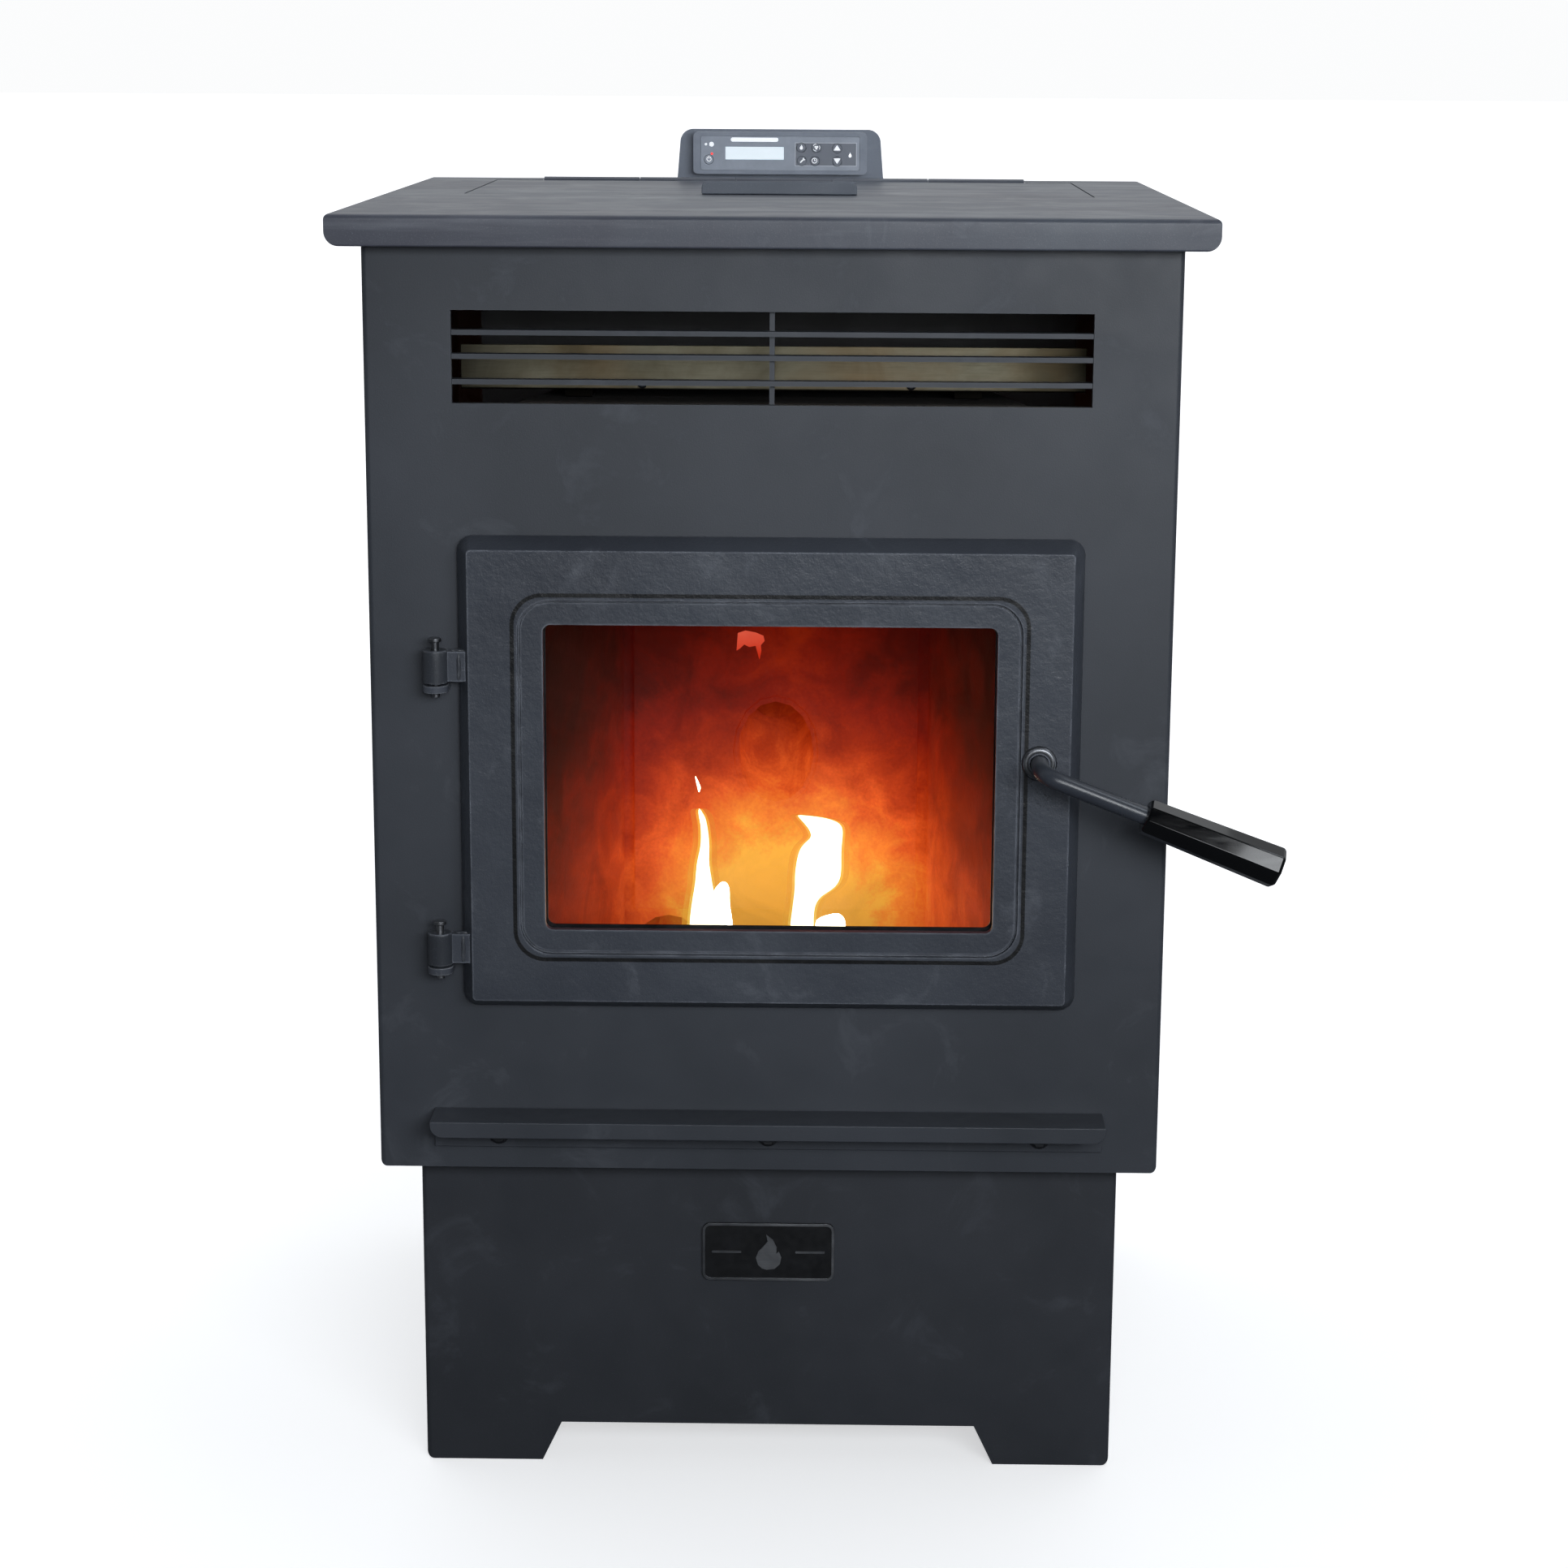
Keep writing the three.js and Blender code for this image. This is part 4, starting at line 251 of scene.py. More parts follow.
def metal(name, colour, tint, rough=(0.3, 0.5), brush=(40, 40, 900), heat=None):
    """Bare sheet or rolled steel, with faint brushing and stains."""
    look = Look(name, Metallic=1.0)
    lines = look.noise(1, 4, 0.6, place=look.stretched(*brush))
    stain = look.noise(14, 5, 0.65, distortion=0.5)
    tone = look.mix(look.span(stain, 0.35, 0.7), tint, colour)
    if heat:
        tone = look.mix(look.span(look.noise(6, 4, 0.6), 0.45, 0.7, 0, 0.7), tone, heat)
    tone = look.mix(look.span(lines, 0.4, 0.7, 0, 0.3), tone, tint)
    look.bumps((lines, 0.00003), (look.noise(300, 3), 0.00004))
    return look.set(Base_Color=tone, Roughness=look.span(stain, 0.3, 0.7, *rough))


body_paint = painted("body_paint", srgb(70, 74, 82), srgb(60, 64, 71), srgb(104, 109, 118))
# Painted shade: the pedestal's paint is a darker copy of the body's, for the shade that falls low on the stove.
pedestal_paint = painted("pedestal_paint", srgb(62, 65, 72), srgb(52, 55, 61), srgb(92, 97, 106))
top_paint = painted("top_paint", srgb(84, 91, 102), srgb(74, 76, 88), srgb(150, 154, 164),
                    rough=(0.34, 0.5), streaks=(1.6, 26, 26))
panel_paint = painted("panel_paint", srgb(124, 133, 148), srgb(112, 120, 135), srgb(164, 172, 184),
                      rough=(0.4, 0.5), wear=0.5)
hinge_paint = painted("hinge_paint", srgb(92, 97, 107), srgb(58, 61, 68), srgb(186, 190, 196),
                      grain=0.0001, pebble=0.0001, rough=(0.25, 0.45), wear=0.9)
steel = metal("bright_steel", srgb(176, 178, 182), srgb(120, 122, 126))
dark_steel = metal("dark_steel", srgb(92, 94, 98), srgb(56, 57, 60), rough=(0.38, 0.6))
aluminised = metal("aluminised_steel", srgb(168, 164, 150), srgb(128, 122, 104), heat=srgb(140, 120, 84))
# Painted shade: near-black paint for the hopper, so that it stays dark behind the louvre, where it sits in shadow.
shade_dark_sheet = painted("shade_dark_sheet", srgb(26, 27, 29), srgb(18, 18, 20), srgb(44, 45, 48))
lid_handle_paint = painted("lid_handle_paint", srgb(98, 106, 118), srgb(84, 91, 103),
                           srgb(150, 157, 168), wear=0.6)

SHIELD_SHADED_FOOT = 7 * MM
SHIELD_SHADED_END = 50 * MM
BEZEL_REACH = 12 * MM
BEZEL_CORNER = 22 * MM
CHIPS_DROP = 16 * MM
CHIPS_REACH = 30 * MM


def shield_look():
    """Aluminised sheet, browned by heat, with painted shade: black at its feet and darkening to black towards its
    ends.
    """
    look = metal("heat_shield_steel", srgb(122, 118, 102), srgb(84, 78, 62), heat=srgb(112, 86, 54))
    low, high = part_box("heat_shield")
    half = (high.x - low.x) / 2
    middle = look.span(look.off("X", (high.x + low.x) / 2), half - SHIELD_SHADED_END, half, 1, 0.25)
    above_foot = look.span(look.axis("Z"), low.z + SHIELD_SHADED_FOOT, low.z + SHIELD_SHADED_FOOT + 1 * MM)
    unshaded_share = look.times(middle, above_foot)
    # Painted shade: the feet and the ends are tinted near-black, as they sit in shadow behind the louvre.
    return look.tint(look.math("SUBTRACT", 1.0, unshaded_share), srgb(12, 11, 9))


def door_look():
    """Pebbled paint, chipped below the handle's boss, paler on its edges from wear and from a painted highlight,
    with painted shade in the groove round the bezel.
    """
    # Its edges are made paler: partly worn paint, partly a painted highlight along them.
    look = painted("door_paint", srgb(80, 85, 94), srgb(64, 68, 77), srgb(134, 139, 149),
                   grain=0.00012, pebble=0.00026, rough=(0.3, 0.48), wear=1.0, rub_radius=0.0022)
    boss = Vector(joints["handle_turn"]["pos_m"])
    boss.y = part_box("door_frame")[0].y
    chipped = look.span(look.noise(420, 4, 0.7), 0.58, 0.62)
    look.tint(look.times(look.near(boss - UP * CHIPS_DROP, CHIPS_REACH), chipped, 0.8, clamp=True),
              srgb(24, 24, 26))
    # Painted shade: a near-black line along the groove round the bezel, where shade falls in it.
    low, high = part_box("door_glass")
    half = (high - low) / 2 + Vector((BEZEL_REACH, 0, BEZEL_REACH))
    edge = look.rounded_distance((low + high) / 2, half, BEZEL_CORNER)
    groove_shade = look.times(look.span(edge, -2.4 * MM, -1.9 * MM),
                        look.span(edge, 0.5 * MM, 1.0 * MM, 1, 0))
    return look.tint(groove_shade, srgb(15, 16, 19))


def grip_look():
    look = Look("black_grip", Specular_IOR_Level=0.3, Coat_Weight=0.4, Coat_Roughness=0.06)
    scuff = look.noise(1, 3, 0.55, place=look.stretched(30, 200, 200))
    look.bumps((look.noise(18, 2), 0.00008))
    tone = look.mix(look.span(look.noise(50, 4), 0.5, 0.75, 0, 0.5), srgb(4, 5, 7), srgb(11, 13, 17))
    return look.set(Base_Color=tone, Roughness=look.span(scuff, 0.35, 0.7, 0.1, 0.22))


def plastic(name, colour, pale, rough=(0.4, 0.55), **sockets):
    look = Look(name, **sockets)
    look.bumps((look.noise(1600, 2), 0.00002))
    tone = look.mix(look.span(look.noise(60, 4, 0.6), 0.4, 0.7), colour, pale)
    return look.set(Base_Color=tone, Roughness=look.span(look.noise(220, 3), 0.3, 0.7, *rough))


FIELD_MIDDLE = at(35.3, 0, 951.9)
FIELD_HALF = Vector((26.3, 0, 9.9)) * MM


def overlay_look():
    """The panel's film: a darker printed field with a pale outline round the buttons."""
    look = plastic("overlay_film", srgb(158, 167, 182), srgb(170, 179, 194), rough=(0.3, 0.42))
    across = look.math("SUBTRACT", look.off("X", FIELD_MIDDLE.x), FIELD_HALF.x)
    upright = look.math("SUBTRACT", look.off("Z", FIELD_MIDDLE.z), FIELD_HALF.z)
    edge = look.math("MAXIMUM", across, upright)
    look.tint(look.span(edge, -0.7 * MM, -0.6 * MM, 1, 0), srgb(112, 119, 133))
    line = look.times(look.span(edge, -0.7 * MM, -0.6 * MM), look.span(edge, -0.1 * MM, 0, 1, 0))
    return look.tint(line, srgb(206, 212, 222))


def fibre_look():
    look = Look("seal_fibre", Sheen_Weight=0.3)
    strands = look.add("TexWave", ("Vector", look.place), ("Scale", 420.0), ("Distortion", 1.5),
                       ("Detail", 2.0), bands_direction="DIAGONAL").outputs["Fac"]
    look.bumps((strands, 0.0004), (look.noise(900, 3), 0.0002))
    tone = look.mix(look.span(strands, 0.2, 0.8), srgb(88, 84, 76), srgb(150, 145, 134))
    return look.set(Base_Color=tone, Roughness=0.95)


def iron_look(name, colour, soot, ash):
    look = Look(name)
    cloud = look.noise(22, 6, 0.7, distortion=0.8)
    fine = look.noise(260, 4, 0.6)
    tone = look.mix(look.span(cloud, 0.35, 0.6), soot, colour)
    tone = look.mix(look.span(fine, 0.55, 0.8, 0, 0.5), tone, ash)
    look.bumps((fine, 0.0003), (look.noise(60, 4), 0.0006))
    return look.set(Base_Color=tone, Roughness=0.85)


FIRE_MIDDLE = at(12, 0, 360)
FIRE_HALF_WIDTH, FIRE_HALF_HEIGHT = 82 * MM, 80 * MM
# Painted firelight: its strength at the fire's middle and its loss with each half-width out, then the same for the
# painted glow on the wall above the fire, with the loss for each metre sideways and the height that it starts to
# fade from
FIRE_GLOW, FIRE_GLOW_FALL = 1.3, 0.37
PLUME_GLOW, PLUME_GLOW_FALL, PLUME_GLOW_TOP = 0.56, 2.1, 140 * MM
GLOW_DEPTH = 130 * MM
FIRELIGHT_COLOURS = (
    (0.0, srgb(14, 1, 1)), (0.15, srgb(40, 3, 2)), (0.3, srgb(76, 7, 2)), (0.45, srgb(120, 18, 3)),
    (0.56, srgb(150, 34, 4)), (0.67, srgb(188, 56, 12)), (0.78, srgb(230, 88, 28)),
    (0.9, srgb(252, 134, 42)), (1.0, srgb(254, 178, 58)),
)
firebox_low, firebox_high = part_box("firebox")
WALL = 4 * MM


def firelit_look(name, inside_only=True):
    """Sooty iron with painted firelight: an emission, yellow by the flames and dull red far from them, in place of
    the fire's light on it.
    """
    look = iron_look(name, srgb(18, 8, 4), srgb(8, 4, 2), srgb(26, 14, 8))
    x = look.math("SUBTRACT", look.axis("X"), FIRE_MIDDLE.x)
    z = look.math("SUBTRACT", look.axis("Z"), FIRE_MIDDLE.z)
    wide = look.math("POWER", look.math("DIVIDE", x, FIRE_HALF_WIDTH), 2.0)
    above = look.math("DIVIDE", look.math("MAXIMUM", z, 0.0), FIRE_HALF_HEIGHT)
    reach = look.math("SQRT", look.math("ADD", wide, look.math("POWER", above, 2.0)))
    fire_glow = look.math("SUBTRACT", FIRE_GLOW, look.times(reach, FIRE_GLOW_FALL))
    plume_glow = look.math("SUBTRACT", PLUME_GLOW, look.times(look.math("ABSOLUTE", x), PLUME_GLOW_FALL))
    plume_fade = look.math("MAXIMUM", look.math("SUBTRACT", z, PLUME_GLOW_TOP), 0.0)
    # heat here is the strength of the painted firelight on the wall, not the iron's own glow
    heat = look.math("MAXIMUM", fire_glow, look.math("SUBTRACT", plume_glow, plume_fade))
    mottle = look.span(look.noise(26, 5, 0.65, distortion=0.7), 0.25, 0.75, -0.09, 0.09)
    grain = look.span(look.noise(420, 2, 0.6), 0.2, 0.8, -0.03, 0.03)
    heat = look.math("ADD", look.math("ADD", heat, mottle), grain, clamp=True)
    if inside_only:
        half = (firebox_high.x - firebox_low.x) / 2 - WALL
        off = look.off("X", (firebox_high.x + firebox_low.x) / 2)
        height = look.axis("Z")
        strength = look.times(look.span(off, half, half + 0.5 * MM, 1, 0),
                              look.span(height, firebox_low.z + 1 * MM, firebox_low.z + WALL),
                              look.span(height, firebox_high.z - WALL, firebox_high.z - 1 * MM, 1, 0))
    else:
        # Painted firelight that fades towards the back, on parts that reach back out of the firebox
        strength = look.span(look.axis("Y"), firebox_high.y, firebox_high.y + GLOW_DEPTH, 1, 0)
    return look.set(Emission_Color=look.ramp(heat, *FIRELIGHT_COLOURS), Emission_Strength=strength)


def board_look():
    look = Look("circuit_board", Coat_Weight=0.4)
    traces = look.add("TexBrick", ("Vector", look.stretched(1, 60, 60)), ("Color1", srgb(20, 84, 50)),
                      ("Color2", srgb(28, 100, 60)), ("Mortar", srgb(150, 130, 60)), ("Scale", 3.0),
                      ("Mortar Size", 0.02))
    look.bumps((traces.outputs["Fac"], 0.0001))
    return look.set(Base_Color=traces.outputs["Color"],
                    Roughness=look.span(look.noise(90, 3), 0.3, 0.7, 0.35, 0.6))


def glass_look():
    """Clear ceramic glass with a brown film of soot that thickens towards its edges."""
    look = Look("window_glass", IOR=1.5, Specular_IOR_Level=0.2)
    low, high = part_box("door_glass")
    middle = (low + high) / 2
    side = look.span(look.off("X", middle.x), 0.1, (high.x - low.x) / 2)
    end = look.span(look.off("Z", middle.z), 0.05, (high.z - low.z) / 2)
    film = look.times(look.math("MAXIMUM", side, end), 0.22)
    clouds = look.noise(16, 5, 0.65, distortion=0.7)
    film = look.math("ADD", film, look.span(clouds, 0.4, 0.75, 0.0, 0.1), clamp=True)
    tone = look.mix(clouds, srgb(3, 1, 1), srgb(10, 4, 2))
    look.bumps((look.noise(9, 2), 0.0001))
    return look.set(Base_Color=tone, Alpha=film, Roughness=look.span(clouds, 0.4, 0.7, 0.06, 0.2))


door_paint = door_look()
grip = grip_look()
panel_plastic = plastic("panel_plastic", srgb(140, 149, 164), srgb(152, 160, 175))
overlay_film = overlay_look()
screen = plastic("screen", srgb(214, 224, 230), srgb(224, 232, 238), rough=(0.2, 0.3),
                 Emission_Color=srgb(214, 226, 234), Emission_Strength=0.6)
# Painted light: the white print also glows, so it reads brighter than its colour alone would under the lamps.
self_lit_print = plastic("self_lit_print", srgb(240, 243, 246), srgb(250, 251, 252),
                      Emission_Color=srgb(236, 240, 246), Emission_Strength=0.6)
badge_black = plastic("badge_black", srgb(20, 21, 23), srgb(30, 31, 34), rough=(0.3, 0.45))
fibre = fibre_look()
iron = iron_look("fire_iron", srgb(74, 56, 46), srgb(38, 29, 25), srgb(104, 88, 76))
shield_steel = shield_look()
firelit_iron = firelit_look("firelit_iron")
firelit_steel = firelit_look("firelit_steel", inside_only=False)
pot_iron = iron_look("pot_iron", srgb(80, 66, 56), srgb(30, 26, 24), srgb(150, 140, 130))
board = board_look()
glass = glass_look()


def glowing(name, low, high, bottom, top, strength_low, strength_high):
    """Emission that runs from one colour at the bottom to another at the top."""
    look = Look(name, Base_Color=(0, 0, 0, 1), Roughness=1.0)
    height = look.span(look.axis("Z"), bottom, top)
    lick = look.span(look.noise(40, 3), 0.3, 0.7, -0.15, 0.15)
    share = look.math("ADD", height, lick, clamp=True)
    return look.set(Emission_Color=look.mix(share, low, high),
                    Emission_Strength=look.span(share, 0, 1, strength_low, strength_high))


def ember_look():
    look = Look("embers", Roughness=0.9)
    heat = look.span(look.noise(70, 3, 0.6), 0.38, 0.62)
    look.bumps((look.noise(500, 3), 0.0003))
    glow = look.mix(heat, srgb(190, 26, 2), srgb(255, 170, 50))
    return look.set(Base_Color=srgb(50, 44, 40), Emission_Color=glow,
                    Emission_Strength=look.span(heat, 0, 1, 0.3, 7))


def wood_look():
    look = Look("pellet_wood")
    fleck = look.noise(240, 4, 0.65)
    broad = look.noise(30, 3)
    tone = look.mix(look.span(broad, 0.3, 0.7), srgb(168, 122, 76), srgb(206, 164, 112))
    tone = look.mix(look.span(fleck, 0.55, 0.75, 0, 0.6), tone, srgb(120, 80, 48))
    look.bumps((fleck, 0.0003))
    return look.set(Base_Color=tone, Roughness=0.75)


def ash_look():
    look = Look("ash")
    flake = look.noise(300, 5, 0.7)
    tone = look.mix(look.span(flake, 0.35, 0.7), srgb(96, 92, 88), srgb(190, 186, 180))
    look.bumps((flake, 0.0008))
    return look.set(Base_Color=tone, Roughness=0.95)


embers = ember_look()
wood = wood_look()
ash = ash_look()


# ---- CAD nodes: finish and softened edges ----

FINISHES = {
    "cabinet_paint": body_paint, "pedestal_paint": pedestal_paint, "top_paint": top_paint,
    "door_paint": door_paint, "badge": badge_black, "black_grip": grip, "panel_plastic": panel_plastic,
    "display": screen, "window": glass, "seal_fibre": fibre, "bright_steel": steel,
    "dark_steel": dark_steel, "aluminised_steel": aluminised, "fire_iron": iron, "circuit_board": board,
}
OWN_FINISH = {
    "controller_overlay": overlay_film, "control_bracket": panel_paint, "burn_pot": pot_iron,
    "hopper": shade_dark_sheet, "heat_shield": shield_steel, "lid_handle": lid_handle_paint,
    "upper_hinge_bracket": hinge_paint, "lower_hinge_bracket": hinge_paint,
    "exhaust_blower_housing": firelit_steel, "exhaust_impeller": firelit_steel,
    "firebox": firelit_iron, "firebox_liner": firelit_iron, "auger_tube": firelit_steel, "auger_screw": firelit_steel,
}
for key in ("power", "flame", "fan", "setup", "clock", "up", "down"):
    OWN_FINISH[key + "_button"] = overlay_film
EDGE_RADIUS = {
    "top_plate": 0.9, "front_panel": 0.5, "left_side_panel": 0.8, "right_side_panel": 0.8,
    "back_panel": 0.8, "pedestal_front": 0.8, "pedestal_shell": 0.8, "louvre_grille": 0.5,
    "heat_shield": 0.4, "ash_shelf": 0.8, "hopper_lid": 0.5, "lid_handle": 0.9, "control_bracket": 0.6,
    "controller_housing": 1.2, "door_frame": 1.1, "handle_grip": 0.9, "upper_hinge_bracket": 0.6,
    "lower_hinge_bracket": 0.6, "upper_hinge_pin": 0.5, "lower_hinge_pin": 0.5, "burn_pot": 0.8,
    "ash_pan": 0.5, "flue_outlet": 0.4, "air_intake": 0.4, "power_inlet": 0.6, "badge_plate": 0.5,
    "firebox_liner": 1.0, "latch_cam": 0.6,
}
SMALLEST_EDGE = 0.25
WELD_DISTANCE = 0.01 * MM
FLAT_ANGLE = math.radians(1)
SHARP_ANGLE = math.radians(32)


def add_bevel(obj, width):
    mod = obj.modifiers.new("bevel", "BEVEL")
    mod.width = width
    mod.segments = 2
    mod.limit_method = "ANGLE"
    mod.angle_limit = SHARP_ANGLE
    mod.harden_normals = True
    mod.use_clamp_overlap = True


def soften(piece, width):
    """Joins a node's faces, merges flat ones and rounds its sharp edges, all by modifiers."""
    mesh = piece.data
    if "custom_normal" in mesh.attributes:
        mesh.attributes.remove(mesh.attributes["custom_normal"])
    mesh.shade_smooth()
    weld = piece.modifiers.new("weld", "WELD")
    weld.merge_threshold = WELD_DISTANCE
    merge = piece.modifiers.new("merge", "DECIMATE")
    merge.decimate_type = "DISSOLVE"
    merge.angle_limit = FLAT_ANGLE
    add_bevel(piece, width)


for row in frame["record"]["subparts"]:
    node = nodes[row["node"]]
    look = OWN_FINISH.get(row["node"], FINISHES[row["material_slot"]])
    node.data.materials.clear()
    node.data.materials.append(look.material)
    soften(node, EDGE_RADIUS.get(row["node"], SMALLEST_EDGE) * MM)


# ---- Mesh helpers ----

def piece(name, bm, look, body, slot=None, smooth=True, bevel=0.0, subdivide=0):
    """A new object from a bmesh, riding on a body."""
    mesh = bpy.data.meshes.new(name)
    bmesh.ops.recalc_face_normals(bm, faces=bm.faces)
    bm.to_mesh(mesh)
    bm.free()
    mesh.materials.append(look.material)
    if smooth:
        mesh.shade_smooth()
    obj = bpy.data.objects.new(name, mesh)
    bpy.context.scene.collection.objects.link(obj)
    if bevel:
        add_bevel(obj, bevel)
    if subdivide:
        mod = obj.modifiers.new("smooth", "SUBSURF")
        mod.levels = mod.render_levels = subdivide
    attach(obj, body)
    return obj


def band(bm, a, b):
    """Faces between two closed loops of vertices."""
    for i in range(len(a)):
        j = (i + 1) % len(a)
        bm.faces.new((a[i], a[j], b[j], b[i]))


def rings(bm, loops, capped=True):
    """Skins equal point loops: a tube capped at its ends, or a ring whose last loop meets its first."""
    made = [[bm.verts.new(p) for p in loop] for loop in loops]
    for a, b in zip(made, made[1:]):
        band(bm, a, b)
    if capped:
        bm.faces.new(list(reversed(made[0])))
        bm.faces.new(made[-1])
    else:
        band(bm, made[-1], made[0])


def circle(centre, u, v, radius, count, squash=1.0):
    """Points round a centre in the plane of two axes."""
    return [centre + u * radius * math.cos(2 * math.pi * i / count)
            + v * radius * squash * math.sin(2 * math.pi * i / count) for i in range(count)]


def cross_axes(axis):
    """Two axes square to the given one and to each other."""
    axis = axis.normalized()
    side = Vector((1, 0, 0)) if abs(axis.x) < 0.9 else Vector((0, 0, 1))
    u = (side - axis * side.dot(axis)).normalized()
    return u, axis.cross(u)


def sweep(bm, path, radius):
    """A round bar along a path."""
    loops = []
    u = None
    for i, p in enumerate(path):
        ahead = (path[min(i + 1, len(path) - 1)] - path[max(i - 1, 0)]).normalized()
        if u is None:
            u, v = cross_axes(ahead)
        else:
            u = (u - ahead * u.dot(ahead)).normalized()
            v = ahead.cross(u)
        loops.append(circle(p, u, v, radius, 32))
    rings(bm, loops)


def turned(bm, origin, axis, profile, count, capped=True):
    """A body of revolution from (along, radius) pairs in millimetres; six sides make it a hexagon."""
    axis = axis.normalized()
    u, v = cross_axes(axis)
    rings(bm, [circle(origin + axis * along * MM, u, v, radius * MM, count) for along, radius in profile],
          capped)


def slab(bm, outline, origin, u, v, thickness):
    """An outline of (across, up) pairs in metres, raised along u x v by the thickness."""
    out = u.cross(v) * thickness
    low = [bm.verts.new(origin + u * a + v * b) for a, b in outline]
    high = [bm.verts.new(origin + u * a + v * b + out) for a, b in outline]
    band(bm, low, high)
    bm.faces.new(list(reversed(low)))
    bm.faces.new(high)


def rounded(width, height, radius, steps=6):
    """The outline of a rounded rectangle about the origin."""
    points = []
    for cx, cy, start in ((1, 1, 0), (-1, 1, 90), (-1, -1, 180), (1, -1, 270)):
        for i in range(steps + 1):
            turn = math.radians(start + 90 * i / steps)
            points.append((cx * (width / 2 - radius) + radius * math.cos(turn),
                           cy * (height / 2 - radius) + radius * math.sin(turn)))
    return points


# ---- Door handle ----

handle_axis = Vector(joints["handle_turn"]["pos_m"])
_, rod_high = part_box("handle_rod")
_, door_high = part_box("door_frame")
DROOP = math.radians(21.4)
ROD_RADIUS = 6.35 * MM
ROD_BEND = 16 * MM
ROD_REACH = 160 * MM
lever = Vector((math.cos(DROOP), 0, -math.sin(DROOP)))


def bent_path(start, corner, end, bend, steps=14):
    """Two straights joined by a curve that leaves them a bend's length from their corner."""
    a = corner + (start - corner).normalized() * bend
    b = corner + (end - corner).normalized() * bend
    path = [start.lerp(a, i / 4) for i in range(4)]
    for i in range(steps + 1):
        t = i / steps
        path.append(a * (1 - t) ** 2 + corner * 2 * t * (1 - t) + b * t ** 2)
    path += [b.lerp(end, (i + 1) / 8) for i in range(8)]
    return path


def make_handle():
    bm = bmesh.new()
    path = bent_path(Vector((handle_axis.x, rod_high.y, handle_axis.z)), handle_axis,
                     handle_axis + lever * ROD_REACH, ROD_BEND)
    sweep(bm, path, ROD_RADIUS)
    rod = piece("lever_rod", bm, rod_paint, "handle", "dark_steel")
    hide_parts("handle_rod")


rod_paint = painted("rod_paint", srgb(70, 75, 84), srgb(48, 52, 60), srgb(120, 126, 136),
                    grain=0.00004, rough=(0.25, 0.4), wear=0)
make_handle()

worn_steel = metal("worn_steel", srgb(150, 152, 156), srgb(84, 86, 90), rough=(0.25, 0.45),
                   brush=(700, 40, 700))
GLASS_BEHIND_FACE = 8.8 * MM  # from the door's front face, which the hinge barrels stand forward of
BOSS_PROFILE = [(0.2, 12.6), (-0.6, 12.5), (-2.0, 12.0), (-3.0, 10.9), (-3.35, 9.6), (-3.1, 8.2), (-2.4, 7.2),
                (-1.5, 6.75), (0.2, 6.75)]


def make_boss_ring():
    bm = bmesh.new()
    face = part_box("door_glass")[0].y - GLASS_BEHIND_FACE
    turned(bm, Vector((handle_axis.x, face, handle_axis.z)), BACK, BOSS_PROFILE, 40, capped=False)
    piece("handle_boss", bm, worn_steel, "door", "dark_steel")


make_boss_ring()


# ---- Door hinges ----

hinge_axis = Vector(joints["door_hinge"]["pos_m"])
DOOR_LEFT = 2 * MIDDLE_X - door_high.x


def bead(bm, path, radius, seed):
    """A rough weld bead along a path."""
    loops = []
    for i, p in enumerate(path):
        ahead = (path[min(i + 1, len(path) - 1)] - path[max(i - 1, 0)]).normalized()
        u, v = cross_axes(ahead)
        swell = 0.75 + 0.5 * noise.noise(Vector((i * 0.9, seed, 0)))
        if i in (0, len(path) - 1):
            swell *= 0.45
        ring = []
        for k, q in enumerate(circle(p, u, v, radius * swell, 10)):
            ring.append(q + (q - p) * 0.35 * noise.noise(Vector((k * 0.8, i * 0.7, seed))))
        loops.append(ring)
    rings(bm, loops)


WASHER_GAP = 1.5 * MM
BARREL_HEIGHT = 23.4 * MM
BARREL_PROFILE = [(0.0, 8.2), (0.6, 8.95), (22.6, 8.95), (23.6, 8.2), (23.6, 3.4), (0, 3.4)]
WELD_REACH = 5 * MM


def make_hinge_details():
    """A skin over each of the door's barrels, with a weld bead at its ends and one down its side."""
    for name, seed in (("upper", 0), ("lower", 7)):
        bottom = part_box(name + "_hinge_bracket")[1].z + WASHER_GAP
        bm = bmesh.new()
        loops = []
        for along, radius in BARREL_PROFILE:
            centre = Vector((hinge_axis.x, hinge_axis.y, bottom + (along - 0.1) * MM))
            loops.append(circle(centre, RIGHT, BACK, radius * MM, 36))
        rings(bm, loops, capped=False)
        piece(name + "_barrel_skin", bm, worn_paint, "door", "door_paint", bevel=0.3 * MM)
        bm = bmesh.new()
        y = hinge_axis.y + 2.2 * MM
        for k, z in enumerate((bottom + 1.2 * MM, bottom + BARREL_HEIGHT - 1.2 * MM)):
            path = [Vector((DOOR_LEFT + WELD_REACH * (i / 3.5 - 1), y, z)) for i in range(8)]
            bead(bm, path, 2.1 * MM, 3.1 * k + seed)
        y = hinge_axis.y - 2.2 * MM
        path = [Vector((DOOR_LEFT + 1.5 * MM, y, bottom + (2 + i * 2.4) * MM)) for i in range(9)]
        bead(bm, path, 1.8 * MM, 11.3)
        piece(name + "_weld_beads", bm, worn_paint, "door", "door_paint", subdivide=1)


worn_paint = painted("worn_paint", srgb(66, 70, 77), srgb(50, 53, 59), srgb(150, 154, 160),
                     grain=0.0001, pebble=0.0001, rough=(0.28, 0.45), wear=0.9)
make_hinge_details()


# ---- Fasteners ----

